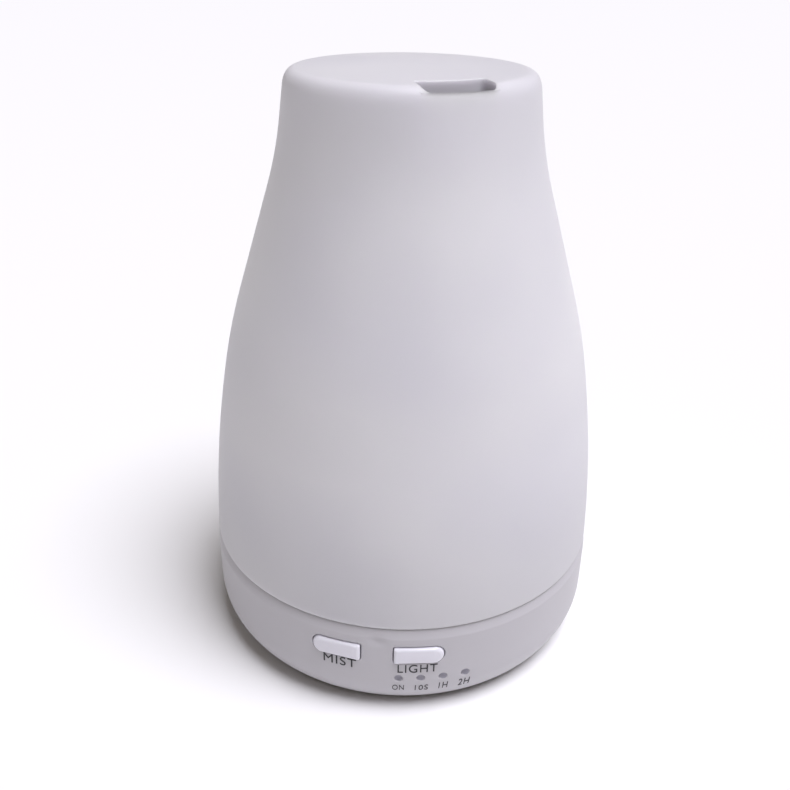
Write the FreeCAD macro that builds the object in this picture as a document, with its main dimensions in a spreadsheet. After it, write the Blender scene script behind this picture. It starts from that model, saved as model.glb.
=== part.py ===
import FreeCAD, Part
import math
import os
import types

import Sketcher

# An ultrasonic cool mist humidifier, in millimetres.
# +Z is up, the floor is at z = 0 under the centre of the feet, and the buttons face -Y.
# The lift-off cover stands on the base housing. Under it are the water tank and its air duct.
# The base holds the fan, the ultrasonic disc, the circuit boards and the power inlet.

SIZES = {
    # outline of the cover: two bulging arcs, a straight flank, a hollow arc and a rounded top
    "seam_height": 25.0,
    "seam_radius": 47.75,
    "rim_round": 1.2,
    "body_foot_radius": 48.27,
    "body_foot_height": 26.0,
    "foot_lean": 1.7,
    "belly_radius": 293.0,
    "belly_lean": 10.7,
    "shoulder_radius": 147.5,
    "flank_lean": 17.1,
    "flank_length": 26.4,
    "neck_radius": 86.0,
    "neck_lean": 7.3,
    "top_round_height": 133.8,
    "top_round": 3.9,
    "top_face_radius": 24.3,
    "top_face_height": 137.4,
    "total_height": 138.0,
    "cover_wall": 1.8,
    "cover_top_underside": 136.0,
    # mist slot through the top of the cover, with a chute below it
    "slot_azimuth": 27.3,
    "slot_half_width": 7.75,
    "slot_inner_radius": 20.9,
    "slot_outer_radius": 26.7,
    "chute_wall": 1.2,
    "chute_outer_radius": 26.3,
    "chute_bottom": 124.0,
    # base housing
    "base_radius": 48.5,
    "base_wall": 2.0,
    "base_round": 14.0,
    "round_top": 11.5,
    "base_bottom": 0.8,
    "shoulder_foot": 22.5,
    "base_top_inner": 46.2,
    "ledge_radius": 44.1,
    "ledge_top": 22.2,
    "ledge_bottom": 20.7,
    "lip_radius": 39.6,
    "lip_bottom": 2.6,
    "lip_top": 4.6,
    "lip_opening": 41.7,
    "lip_play": 0.4,
    "scoop_radius": 7.0,
    "scoop_depth": 0.5,
    "scoop_low": 20.0,
    "scoop_high": 23.6,
    # water tank
    "tank_radius": 43.0,
    "tank_wall": 1.8,
    "tank_underside": 19.7,
    "tank_floor": 21.5,
    "tank_rim": 52.0,
    "tank_corner": 3.3,
    "flange_radius": 46.1,
    "flange_bottom": 23.0,
    "ring_inner": 45.0,
    "ring_top": 28.0,
    "boss_offset": 24.5,
    "boss_radius": 3.0,
    "boss_foot": 4.3,
    "boss_hole_radius": 1.25,
    "boss_hole_top": 15.0,
    "seal_radius": 46.0,
    "seal_hole_radius": 44.2,
    # air duct and its cap
    "fan_x": -24.0,
    "fan_y": 3.0,
    "duct_radius": 8.5,
    "duct_bore": 7.0,
    "duct_foot_radius": 10.0,
    "duct_foot_height": 1.5,
    "duct_top": 74.0,
    "cap_radius": 10.2,
    "cap_bore": 8.55,
    "cap_throat": 7.6,
    "cap_bottom": 70.0,
    "cap_ceiling": 80.0,
    "cap_top": 82.0,
    "cap_window_width": 8.0,
    "cap_window_low": 75.0,
    "cap_window_high": 79.5,
    "collar_radius": 14.8,
    "collar_bore": 13.6,
    "collar_bottom": 14.0,
    # ultrasonic disc, its gasket and clamp
    "disc_x": 9.0,
    "disc_radius": 10.0,
    "disc_bottom": 16.3,
    "disc_top": 17.3,
    "electrode_radius": 7.5,
    "electrode_bottom": 15.8,
    "well_radius": 13.3,
    "well_bore": 12.0,
    "well_bottom": 14.4,
    "well_top": 18.4,
    "well_mouth": 8.3,
    "gasket_radius": 11.9,
    "gasket_hole": 8.4,
    "gasket_bottom": 15.2,
    "clamp_radius": 17.5,
    "clamp_hole": 8.8,
    "clamp_bottom": 12.6,
    "clamp_collar": 11.7,
    "clamp_screw_circle": 15.2,
    "clamp_boss_radius": 2.3,
    "clamp_boss_hole": 0.85,
    "clamp_screw_hole": 0.95,
    "disc_play": 0.03,
    # night light
    "light_inner": 24.4,
    "light_outer": 31.0,
    "light_start": -95.0,
    "light_end": 75.0,
    "light_bottom": 16.2,
    "light_circle": 27.7,
    "light_post_radius": 2.0,
    "light_post_hole": 0.65,
    "light_screw_hole": 0.8,
    "board_thickness": 1.2,
    "led_side": 3.6,
    "led_thickness": 1.6,
    # bottom cover and feet
    "cover_plate_radius": 41.6,
    "foot_radius": 5.0,
    "foot_height": 1.6,
    "foot_recess_radius": 5.1,
    "screw_tower_radius": 4.5,
    "screw_tower_top": 4.2,
    "head_recess_radius": 2.6,
    "head_recess_depth": 1.4,
    "housing_screw_hole": 1.4,
    "grille_slot_half": 1.0,
    "grille_pitch": 3.6,
    "grille_half_length": 11.0,
    # fan
    "fan_side": 30.0,
    "fan_bottom": 4.0,
    "fan_height": 10.0,
    "fan_hole_pitch": 12.0,
    "fan_bore": 13.8,
    "fan_post_radius": 2.4,
    "fan_post_hole": 1.05,
    "fan_frame_hole": 1.25,
    "strut_width": 1.4,
    "blade_tip": 13.2,
    "blade_bottom": 5.2,
    "blade_top": 11.8,
    "blade_thickness": 0.9,
    "blade_pitch": 40.0,
    "hub_radius": 6.4,
    "hub_wall": 0.9,
    "hub_bottom": 4.8,
    "hub_floor": 6.0,
    "hub_top": 12.2,
    "carrier_radius": 6.5,
    "carrier_bottom": 12.6,
    "shaft_radius": 0.75,
    "bush_bore": 0.8,
    "bush_radius": 1.8,
    "coil_radius": 4.3,
    "magnet_inner": 4.7,
    # main board
    "main_bottom": 5.4,
    "main_left": -6.0,
    "main_right": 40.0,
    "main_half_depth": 15.0,
    "neck_right": 6.0,
    "neck_back": 43.4,
    "post_radius": 2.5,
    "post_hole": 0.95,
    "main_screw_hole": 1.1,
    "main_hole_left": -3.0,
    "main_hole_right": 37.0,
    "main_hole_y": 12.0,
    # power inlet
    "jack_half_width": 4.5,
    "jack_front": 44.4,
    "jack_back": 32.3,
    "jack_top": 16.1,
    "jack_axis": 11.6,
    "jack_nose_radius": 3.8,
    "jack_nose_front": 47.7,
    "jack_socket_radius": 3.0,
    "jack_socket_depth": 9.5,
    "jack_pin_radius": 1.05,
    "jack_pin_tip": 46.2,
    "jack_pin_neck": 38.5,
    "jack_root_radius": 0.8,
    "jack_pin_tail": 34.0,
    "inlet_hole_radius": 4.0,
    # buttons, switches and indicators
    "button_x": 9.45,
    "button_z": 17.95,
    "button_half_width": 5.6,
    "button_half_height": 2.2,
    "button_gap": 0.22,
    "button_face_radius": 49.2,
    "button_back": 42.3,
    "button_flange": 43.3,
    "button_flange_half_width": 6.6,
    "button_flange_half_height": 2.5,
    "button_stem_radius": 1.5,
    "button_stem_end": 41.92,
    "switch_front": 41.1,
    "switch_half_width": 3.0,
    "switch_low": 15.9,
    "switch_high": 19.4,
    "plunger_radius": 1.1,
    "plunger_bore": 1.17,
    "plunger_front": 41.9,
    "plunger_back": 40.3,
    "plunger_bore_end": 39.6,
    "button_board_front": 38.0,
    "button_board_half_width": 24.6,
    "button_board_low": 7.6,
    "button_board_high": 19.4,
    "rail_inner": 23.4,
    "rail_front": 39.9,
    "rail_back": 34.9,
    "rail_front_outer": 24.6,
    "rail_back_outer": 31.2,
    "rail_bottom": 7.4,
    "rail_top": 19.0,
    "rail_play": 0.1,
    "indicator_pitch": 5.0,
    "indicator_z": 11.05,
    "indicator_radius": 0.9,
    "indicator_back": 39.2,
    "indicator_recess": 0.3,
    "indicator_play": 0.03,
    # wires
    "lead_radius": 0.5,
    "lead_half_pitch": 0.8,
    "ribbon_pitch": 1.1,
    "lead_bend": 1.4,
    "lead_height": 8.7,
}

HOUSING_CORNERS = [(1, 1), (-1, 1), (-1, -1), (1, -1)]
CLAMP_ANGLES = [60, 180, 300]
LIGHT_POST_ANGLES = [-65, 12, 48]
LIGHT_LED_ANGLES = [-85, -45, -5, 30, 66]
FAN_BLADES = 7
FAN_STRUTS = 4
GRILLE_SLOTS = 7
INDICATORS = 4
RIBBON_WIRES = 6

# head radius, head height and thread radius of each kind of screw
SCREWS = {
    "clamp": (1.7, 1.2, 0.8),
    "light": (1.4, 0.9, 0.6),
    "housing": (2.4, 1.3, 1.2),
    "fan": (2.0, 1.2, 1.0),
    "board": (1.9, 1.2, 0.9),
}


class Size:
    """A length, angle or ratio: its number, and the expression that keeps it bound to the sheet."""

    def __init__(self, number, text):
        self.number = number
        self.text = text

    def __add__(self, other):
        other = as_size(other)
        return Size(self.number + other.number, f"({self.text} + {other.text})")

    def __sub__(self, other):
        other = as_size(other)
        return Size(self.number - other.number, f"({self.text} - {other.text})")

    def __mul__(self, other):
        other = as_size(other)
        return Size(self.number * other.number, f"({self.text} * {other.text})")

    def __truediv__(self, other):
        other = as_size(other)
        return Size(self.number / other.number, f"({self.text} / {other.text})")

    def __neg__(self):
        return Size(-self.number, f"(0 - {self.text})")


def as_size(value):
    if isinstance(value, Size):
        return value
    return Size(float(value), f"({float(value)})")


def sine(angle):
    angle = as_size(angle)
    return Size(math.sin(math.radians(angle.number)), f"sin({angle.text} * 1 deg)")


def cosine(angle):
    angle = as_size(angle)
    return Size(math.cos(math.radians(angle.number)), f"cos({angle.text} * 1 deg)")


def root(value):
    return Size(math.sqrt(value.number), f"sqrt({value.text})")


def make_sheet(doc):
    sheet = doc.addObject("Spreadsheet::Sheet", "Sizes")
    for row, (alias, value) in enumerate(SIZES.items(), start=1):
        sheet.set(f"A{row}", alias)
        sheet.set(f"B{row}", str(value))
        sheet.setAlias(f"B{row}", alias)
    doc.recompute()
    return types.SimpleNamespace(**{alias: Size(value, f"Sizes.{alias}") for alias, value in SIZES.items()})


def bind(target, name, value):
    target.setExpression(name, as_size(value).text)


# ---------------------------------------------------------------- sketches


def new_body(doc, label):
    body = doc.addObject("PartDesign::Body", f"{label}_body")
    body.Label = label
    return body


def sketch_on(body, name, plane, offset=0.0, turn=0.0):
    """A sketch on one of the body's own origin planes, moved along the plane's normal and turned in it."""
    sketch = body.newObject("Sketcher::SketchObject", name)
    support = next(item for item in body.Origin.OriginFeatures if item.Role == plane)
    sketch.AttachmentSupport = [(support, "")]
    sketch.MapMode = "FlatFace"
    offset = as_size(offset)
    turn = as_size(turn)
    rotation = FreeCAD.Rotation(FreeCAD.Vector(0, 0, 1), turn.number)
    sketch.AttachmentOffset = FreeCAD.Placement(FreeCAD.Vector(0, 0, offset.number), rotation)
    bind(sketch, "AttachmentOffset.Base.z", offset)
    return sketch


def bound_constraint(sketch, kind, *where, value):
    value = as_size(value)
    index = sketch.addConstraint(Sketcher.Constraint(kind, *where, value.number))
    bind(sketch, f"Constraints[{index}]", value)


def pin_point(sketch, geometry, vertex, across, up):
    """Hold one vertex at its place measured from the sketch's origin."""
    for kind, axis, value in (("DistanceX", -2, across), ("DistanceY", -1, up)):
        if abs(as_size(value).number) < 1e-9:
            sketch.addConstraint(Sketcher.Constraint("PointOnObject", geometry, vertex, axis))
        else:
            bound_constraint(sketch, kind, -1, 1, geometry, vertex, value=value)


def arc_between(start, end, radius):
    """The short arc from start to end, turning left for a positive radius and right for a negative one."""
    chord = end - start
    half = chord.Length / 2
    rise = math.sqrt(max(radius * radius - half * half, 0.0))
    left = FreeCAD.Vector(-chord.y, chord.x, 0).normalize()
    centre = (start + end) * 0.5 + left * math.copysign(rise, radius)
    first, last = (start, end) if radius > 0 else (end, start)
    begin = math.atan2(first.y - centre.y, first.x - centre.x)
    finish = math.atan2(last.y - centre.y, last.x - centre.x)
    circle = Part.Circle(centre, FreeCAD.Vector(0, 0, 1), abs(radius))
    return Part.ArcOfCircle(circle, begin, finish)


def add_loop(sketch, corners):
    """A closed outline. A corner is (across, up), or (across, up, radius) where an arc leads to it."""
    places = [FreeCAD.Vector(as_size(corner[0]).number, as_size(corner[1]).number, 0) for corner in corners]
    ends = []
    for index, corner in enumerate(corners):
        start = places[index - 1]
        end = places[index]
        if len(corner) == 3:
            radius = as_size(corner[2])
            geometry = sketch.addGeometry(arc_between(start, end, radius.number), False)
            ends.append((geometry, 1, 2) if radius.number > 0 else (geometry, 2, 1))
        else:
            geometry = sketch.addGeometry(Part.LineSegment(start, end), False)
            ends.append((geometry, 1, 2))
    for index, (geometry, start_vertex, _) in enumerate(ends):
        before, _, before_end = ends[index - 1]
        sketch.addConstraint(Sketcher.Constraint("Coincident", before, before_end, geometry, start_vertex))
    for corner, (geometry, _, end_vertex) in zip(corners, ends):
        pin_point(sketch, geometry, end_vertex, corner[0], corner[1])
        if len(corner) == 3:
            radius = as_size(corner[2])
            bound_constraint(sketch, "Radius", geometry, value=radius if radius.number > 0 else -radius)


def add_circle(sketch, across, up, radius):
    centre = FreeCAD.Vector(as_size(across).number, as_size(up).number, 0)
    circle = Part.Circle(centre, FreeCAD.Vector(0, 0, 1), as_size(radius).number)
    geometry = sketch.addGeometry(circle, False)
    pin_point(sketch, geometry, 3, across, up)
    bound_constraint(sketch, "Radius", geometry, value=radius)


def add_rectangle(sketch, left, low, right, high):
    add_loop(sketch, [(left, low), (right, low), (right, high), (left, high)])


def revolve(body, corners):
    """Turn an outline of (radius, height) corners about the body's own Z axis."""
    sketch = sketch_on(body, f"{body.Label}_outline", "XZ_Plane")
    add_loop(sketch, corners)
    feature = body.newObject("PartDesign::Revolution", f"{body.Label}_revolution")
    feature.Profile = sketch
    feature.ReferenceAxis = (sketch, ["V_Axis"])
    feature.Angle = 360
    body.Document.recompute()


def pad(body, sketch, length):
    feature = body.newObject("PartDesign::Pad", f"{sketch.Name}_pad")
    feature.Profile = sketch
    bind(feature, "Length", length)
    body.Document.recompute()


def pocket(body, sketch, length, reverse=False):
    """Cut against the sketch's normal, or along it when reversed, and make sure that something is cut."""
    before = body.Shape.Volume
    feature = body.newObject("PartDesign::Pocket", f"{sketch.Name}_pocket")
    feature.Profile = sketch
    feature.Reversed = reverse
    bind(feature, "Length", length)
    body.Document.recompute()
    if body.Shape.Volume > before - 1e-6:
        raise RuntimeError(f"{feature.Name} cuts nothing")


def pad_circles(body, name, bottom, top, circles):
    sketch = sketch_on(body, name, "XY_Plane", bottom)
    for across, up, radius in circles:
        add_circle(sketch, across, up, radius)
    pad(body, sketch, as_size(top) - bottom)


def drill_circles(body, name, bottom, top, circles):
    sketch = sketch_on(body, name, "XY_Plane", top)
    for across, up, radius in circles:
        add_circle(sketch, across, up, radius)
    pocket(body, sketch, as_size(top) - bottom)


# ---------------------------------------------------------------- plain solids


def name_of(label, suffix):
    return f"{label}_{suffix}"


def place(target, base, rotation=None):
    base = [as_size(value) for value in base]
    vector = FreeCAD.Vector(*[value.number for value in base])
    target.Placement = FreeCAD.Placement(vector, rotation or FreeCAD.Rotation())
    for axis, value in zip("xyz", base):
        bind(target, f"Placement.Base.{axis}", value)


def box(doc, name, low, high):
    """A block between two opposite corners."""
    low = [as_size(value) for value in low]
    high = [as_size(value) for value in high]
    solid = doc.addObject("Part::Box", name)
    for side, start, end in zip(("Length", "Width", "Height"), low, high):
        bind(solid, side, end - start)
    place(solid, low)
    return solid


ALONG = {
    "z": FreeCAD.Rotation(),
    "y": FreeCAD.Rotation(FreeCAD.Vector(1, 0, 0), -90),
    "x": FreeCAD.Rotation(FreeCAD.Vector(0, 1, 0), 90),
}


def rod(doc, name, radius, length, base, along="z"):
    solid = doc.addObject("Part::Cylinder", name)
    bind(solid, "Radius", radius)
    bind(solid, "Height", length)
    place(solid, base, ALONG[along])
    return solid


def cut(doc, name, base, tool):
    result = doc.addObject("Part::Cut", name)
    result.Base = base
    result.Tool = tool
    return result


def fuse(doc, name, shapes):
    result = doc.addObject("Part::MultiFuse", name)
    result.Shapes = shapes
    return result


def common(doc, name, shapes):
    result = doc.addObject("Part::MultiCommon", name)
    result.Shapes = shapes
    return result


def group(doc, name, solids):
    """Several separate solids that share one node."""
    result = doc.addObject("Part::Compound", name)
    result.Links = solids
    return result


def tube(doc, name, outer, inner, bottom, top, centre):
    height = as_size(top) - bottom
    wall = rod(doc, name_of(name, "outside"), outer, height, (*centre, bottom))
    bore = rod(doc, name_of(name, "inside"), inner, height, (*centre, bottom))
    return cut(doc, name, wall, bore)


def screw(doc, name, centre, seat, head_radius, head_height, shank_radius, tip, head_up):
    """A pan-head screw with a cross recess, its head above or below the seat."""
    seat = as_size(seat)
    head_height = as_size(head_height)
    head_low = seat if head_up else seat - head_height
    shank_low = as_size(tip) if head_up else seat
    shank_length = seat - tip if head_up else as_size(tip) - seat
    head = rod(doc, name_of(name, "head"), head_radius, head_height, (*centre, head_low))
    shank = rod(doc, name_of(name, "shank"), shank_radius, shank_length, (*centre, shank_low))
    depth = head_height * 0.5
    recess_low = seat + head_height - depth if head_up else seat - head_height
    reach = as_size(head_radius) * 0.6
    half = as_size(head_radius) * 0.15
    across, up = [as_size(value) for value in centre]
    arms = []
    for arm, (along_x, along_y) in enumerate([(reach, half), (half, reach)]):
        low = (across - along_x, up - along_y, recess_low)
        high = (across + along_x, up + along_y, recess_low + depth)
        arms.append(box(doc, name_of(name, f"recess_{arm}"), low, high))
    recess = fuse(doc, name_of(name, "recess"), arms)
    return cut(doc, name, fuse(doc, name_of(name, "blank"), [head, shank]), recess)


def on_circle(centre, radius, angle):
    return (as_size(centre[0]) + radius * cosine(angle), as_size(centre[1]) + radius * sine(angle))


def wire_solid(points, radius, bend):
    """A round wire along straight runs joined by tangent arcs."""
    edges = []
    start = points[0]
    for before, corner, after in zip(points, points[1:], points[2:]):
        inward = (before - corner).normalize()
        outward = (after - corner).normalize()
        half_turn = (math.pi - inward.getAngle(outward)) / 2
        reach = bend * math.tan(half_turn)
        entry = corner + inward * reach
        leave = corner + outward * reach
        middle_way = (inward + outward).normalize()
        middle = corner + middle_way * (bend / math.cos(half_turn) - bend)
        edges.append(Part.LineSegment(start, entry).toShape())
        edges.append(Part.Arc(entry, middle, leave).toShape())
        start = leave
    edges.append(Part.LineSegment(start, points[-1]).toShape())
    path = Part.Wire(edges)
    direction = points[1] - points[0]
    section = Part.Wire([Part.Circle(points[0], direction, radius).toShape()])
    solid = path.makePipeShell([section], True, True)
    expected = math.pi * radius * radius * path.Length
    if abs(solid.Volume - expected) > 0.01 * expected:
        raise RuntimeError("a wire's volume is wrong")
    return solid


def wires(doc, label, routes, size):
    """Separate wires in one node, each along its own list of points."""
    solids = []
    for route in routes:
        points = [FreeCAD.Vector(*[as_size(value).number for value in point]) for point in route]
        solids.append(wire_solid(points, size.lead_radius.number, size.lead_bend.number))
    feature = doc.addObject("Part::Feature", label)
    feature.Shape = Part.Compound(solids)
    return feature


# ---------------------------------------------------------------- cover


def leaning_arc(start, radius, lean, next_lean):
    """Where an arc that starts leaning inwards by one angle ends when it leans by the next one."""
    across, up = start
    across = across - radius * (cosine(lean) - cosine(next_lean))
    up = up + radius * (sine(next_lean) - sine(lean))
    return across, up


def inset(point, lean, wall):
    across, up = point
    return across - wall * cosine(lean), up - wall * sine(lean)


def make_cover(doc, size):
    body = new_body(doc, "cover")
    wall = size.cover_wall
    foot = (size.body_foot_radius, size.body_foot_height)
    waist = leaning_arc(foot, size.belly_radius, size.foot_lean, size.belly_lean)
    flank_low = leaning_arc(waist, size.shoulder_radius, size.belly_lean, size.flank_lean)
    flank_high = (flank_low[0] - size.flank_length * sine(size.flank_lean),
                  flank_low[1] + size.flank_length * cosine(size.flank_lean))
    neck = leaning_arc(flank_high, -size.neck_radius, size.flank_lean, size.neck_lean)
    slope = sine(size.neck_lean) / cosine(size.neck_lean)
    brow = (neck[0] - slope * (size.top_round_height - neck[1]), size.top_round_height)
    rise = size.total_height - size.top_face_height
    dome = (size.top_face_radius * size.top_face_radius + rise * rise) / (rise * 2)
    inner_neck = inset(neck, size.neck_lean, wall)
    ceiling = (inner_neck[0] - slope * (size.cover_top_underside - inner_neck[1]), size.cover_top_underside)
    revolve(body, [
        (size.body_foot_radius - wall, size.seam_height),
        (size.seam_radius, size.seam_height),
        (*foot, size.rim_round),
        (*waist, size.belly_radius),
        (*flank_low, size.shoulder_radius),
        flank_high,
        (*neck, -size.neck_radius),
        brow,
        (size.top_face_radius, size.top_face_height, size.top_round),
        (0, size.total_height, dome),
        (0, size.cover_top_underside),
        ceiling,
        inner_neck,
        (*inset(flank_high, size.flank_lean, wall), size.neck_radius + wall),
        inset(flank_low, size.flank_lean, wall),
        (*inset(waist, size.belly_lean, wall), -(size.shoulder_radius - wall)),
        (*inset(foot, size.foot_lean, wall), -(size.belly_radius - wall)),
    ])
    add_chute(body, size)
    return body


def add_chute(body, size):
    """The mist slot near the rim, with chute walls hanging below it."""
    turn = size.slot_azimuth + 180
    walls = sketch_on(body, "chute_walls", "XY_Plane", size.chute_bottom, turn)
    add_ring_strip(walls, size.slot_half_width + size.chute_wall,
                   size.slot_inner_radius - size.chute_wall, size.chute_outer_radius)
    pad(body, walls, size.cover_top_underside + 0.5 - size.chute_bottom)
    slot = sketch_on(body, "mist_slot", "XY_Plane", size.total_height + 1, turn)
    add_ring_strip(slot, size.slot_half_width, size.slot_inner_radius, size.slot_outer_radius)
    pocket(body, slot, size.total_height + 2 - size.chute_bottom)


def add_ring_strip(sketch, half_width, inner, outer):
    """The part of a ring between two parallel sides, seen with the slot's direction upwards."""
    low = root(inner * inner - half_width * half_width)
    high = root(outer * outer - half_width * half_width)
    add_loop(sketch, [(half_width, low, -inner), (half_width, high), (-half_width, high, outer),
                      (-half_width, low)])


# ---------------------------------------------------------------- water side


def clamp_screw_places(size):
    return [on_circle((size.disc_x, 0), size.clamp_screw_circle, angle) for angle in CLAMP_ANGLES]


def housing_screw_places(size):
    return [(size.boss_offset * across, size.boss_offset * along) for across, along in HOUSING_CORNERS]


def light_post_places(size):
    return [on_circle((0, 0), size.light_circle, angle) for angle in LIGHT_POST_ANGLES]


def make_water_tank(doc, size):
    body = new_body(doc, "water_tank")
    inner = size.tank_radius - size.tank_wall
    revolve(body, [
        (0, size.tank_underside),
        (size.tank_radius - size.tank_corner, size.tank_underside),
        (size.tank_radius, size.flange_bottom, size.tank_corner),
        (size.flange_radius, size.flange_bottom),
        (size.flange_radius, size.ring_top),
        (size.ring_inner, size.ring_top),
        (size.ring_inner, size.seam_height),
        (size.tank_radius, size.seam_height),
        (size.tank_radius, size.tank_rim),
        (inner, size.tank_rim),
        (inner, size.tank_floor + size.tank_corner),
        (inner - size.tank_corner, size.tank_floor, -size.tank_corner),
        (0, size.tank_floor),
    ])
    joined = size.tank_floor - 0.5
    pad_circles(body, "disc_well", size.well_bottom, joined, [(size.disc_x, 0, size.well_radius)])
    clamp_bosses = [(*spot, size.clamp_boss_radius) for spot in clamp_screw_places(size)]
    pad_circles(body, "clamp_bosses", size.well_bottom, joined, clamp_bosses)
    housing_bosses = [(*spot, size.boss_radius) for spot in housing_screw_places(size)]
    pad_circles(body, "housing_bosses", size.boss_foot, joined, housing_bosses)
    light_posts = [(*spot, size.light_post_radius) for spot in light_post_places(size)]
    light_top = size.light_bottom + size.board_thickness
    pad_circles(body, "light_posts", light_top, joined, light_posts)
    drill_circles(body, "well_bore", size.well_bottom, size.well_top, [(size.disc_x, 0, size.well_bore)])
    drill_circles(body, "well_mouth", size.well_top, size.tank_floor + 1, [(size.disc_x, 0, size.well_mouth)])
    drill_circles(body, "air_hole", size.tank_underside - 1, size.tank_floor + 1,
                  [(size.fan_x, size.fan_y, size.duct_bore)])
    drill_circles(body, "clamp_screw_holes", size.well_bottom, size.well_top,
                  [(*spot, size.clamp_boss_hole) for spot in clamp_screw_places(size)])
    drill_circles(body, "housing_screw_holes", size.boss_foot, size.boss_hole_top,
                  [(*spot, size.boss_hole_radius) for spot in housing_screw_places(size)])
    drill_circles(body, "light_screw_holes", light_top, size.tank_underside,
                  [(*spot, size.light_post_hole) for spot in light_post_places(size)])
    return body


def make_fan_collar(doc, size):
    """A soft ring that leads the fan's air to the hole in the tank floor."""
    return tube(doc, "fan_collar", size.collar_radius, size.collar_bore,
                size.collar_bottom, size.tank_underside, (size.fan_x, size.fan_y))


def make_air_duct(doc, size):
    body = new_body(doc, "air_duct")
    foot_top = size.tank_floor + size.duct_foot_height
    revolve(body, [
        (size.duct_bore, size.tank_floor),
        (size.duct_foot_radius, size.tank_floor),
        (size.duct_foot_radius, foot_top),
        (size.duct_radius, foot_top),
        (size.duct_radius, size.duct_top),
        (size.duct_bore, size.duct_top),
    ])
    place(body, (size.fan_x, size.fan_y, 0))
    return body


def make_duct_cap(doc, size):
    """A hood on the duct that keeps drips out and lets the air leave through four windows."""
    body = new_body(doc, "duct_cap")
    revolve(body, [
        (size.cap_bore, size.cap_bottom),
        (size.cap_radius, size.cap_bottom),
        (size.cap_radius, size.cap_ceiling),
        (size.cap_radius - 2, size.cap_top, 2),
        (0, size.cap_top),
        (0, size.cap_ceiling),
        (size.cap_throat, size.cap_ceiling),
        (size.cap_throat, size.duct_top),
        (size.cap_bore, size.duct_top),
    ])
    half = size.cap_window_width / 2
    reach = size.cap_radius + 2
    for number, (across, along) in enumerate([(reach, half), (half, reach)]):
        windows = sketch_on(body, f"cap_windows_{number}", "XY_Plane", size.cap_window_high)
        add_rectangle(windows, -across, -along, across, along)
        pocket(body, windows, size.cap_window_high - size.cap_window_low)
    place(body, (size.fan_x, size.fan_y, 0))
    return body


def make_tank_seal(doc, size):
    return tube(doc, "tank_seal", size.seal_radius, size.seal_hole_radius,
                size.ledge_top, size.flange_bottom, (0, 0))


def make_ultrasonic_disc(doc, size):
    body = new_body(doc, "ultrasonic_disc")
    revolve(body, [
        (0, size.electrode_bottom),
        (size.electrode_radius, size.electrode_bottom),
        (size.electrode_radius, size.disc_bottom),
        (size.disc_radius, size.disc_bottom),
        (size.disc_radius, size.disc_top),
        (0, size.disc_top),
    ])
    place(body, (size.disc_x, 0, 0))
    return body


def make_disc_gasket(doc, size):
    """A rubber ring with a groove that grips the rim of the disc."""
    body = new_body(doc, "disc_gasket")
    groove = size.disc_radius + size.disc_play
    play = size.disc_play
    revolve(body, [
        (size.gasket_hole, size.gasket_bottom),
        (size.gasket_radius, size.gasket_bottom),
        (size.gasket_radius, size.well_top),
        (size.gasket_hole, size.well_top),
        (size.gasket_hole, size.disc_top + play),
        (groove, size.disc_top + play),
        (groove, size.disc_bottom - play),
        (size.gasket_hole, size.disc_bottom - play),
    ])
    place(body, (size.disc_x, 0, 0))
    return body


def make_disc_clamp(doc, size):
    body = new_body(doc, "disc_clamp")
    revolve(body, [
        (size.clamp_hole, size.clamp_bottom),
        (size.clamp_radius, size.clamp_bottom),
        (size.clamp_radius, size.well_bottom),
        (size.clamp_collar, size.well_bottom),
        (size.clamp_collar, size.gasket_bottom),
        (size.clamp_hole, size.gasket_bottom),
    ])
    holes = [(*on_circle((0, 0), size.clamp_screw_circle, angle), size.clamp_screw_hole)
             for angle in CLAMP_ANGLES]
    drill_circles(body, "clamp_holes", size.clamp_bottom, size.well_bottom, holes)
    place(body, (size.disc_x, 0, 0))
    return body


def make_disc_clamp_screws(doc, size):
    screws = []
    for number, centre in enumerate(clamp_screw_places(size)):
        screws.append(screw(doc, f"clamp_screw_{number}", centre, size.clamp_bottom,
                            *SCREWS["clamp"], size.well_top - 0.4, False))
    return group(doc, "disc_clamp_screws", screws)


# ---------------------------------------------------------------- night light


def make_light_board(doc, size):
    """A C-shaped board hung from posts under the tank floor."""
    body = new_body(doc, "light_board")
    outline = sketch_on(body, "light_board_outline", "XY_Plane", size.light_bottom)
    start = size.light_start
    end = size.light_end
    inner_start = on_circle((0, 0), size.light_inner, start)
    outer_start = on_circle((0, 0), size.light_outer, start)
    inner_end = on_circle((0, 0), size.light_inner, end)
    outer_end = on_circle((0, 0), size.light_outer, end)
    add_loop(outline, [outer_start, (*outer_end, size.light_outer), inner_end, (*inner_start, -size.light_inner)])
    pad(body, outline, size.board_thickness)
    drill_circles(body, "light_board_holes", size.light_bottom, size.light_bottom + size.board_thickness,
                  [(*spot, size.light_screw_hole) for spot in light_post_places(size)])
    return body


def make_light_leds(doc, size):
    leds = []
    half = size.led_side / 2
    for number, angle in enumerate(LIGHT_LED_ANGLES):
        led = doc.addObject("Part::Box", f"light_led_{number}")
        bind(led, "Length", size.led_side)
        bind(led, "Width", size.led_side)
        bind(led, "Height", size.led_thickness)
        turn = FreeCAD.Rotation(FreeCAD.Vector(0, 0, 1), angle)
        centre = on_circle((0, 0), size.light_circle, angle)
        corner = turn.multVec(FreeCAD.Vector(-half.number, -half.number, 0))
        base = (centre[0] + corner.x, centre[1] + corner.y, size.light_bottom + size.board_thickness)
        place(led, base, turn)
        leds.append(led)
    return group(doc, "light_leds", leds)


def make_light_board_screws(doc, size):
    screws = []
    for number, centre in enumerate(light_post_places(size)):
        screws.append(screw(doc, f"light_screw_{number}", centre, size.light_bottom,
                            *SCREWS["light"], size.tank_underside - 0.3, False))
    return group(doc, "light_board_screws", screws)


# ---------------------------------------------------------------- base shells


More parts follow.
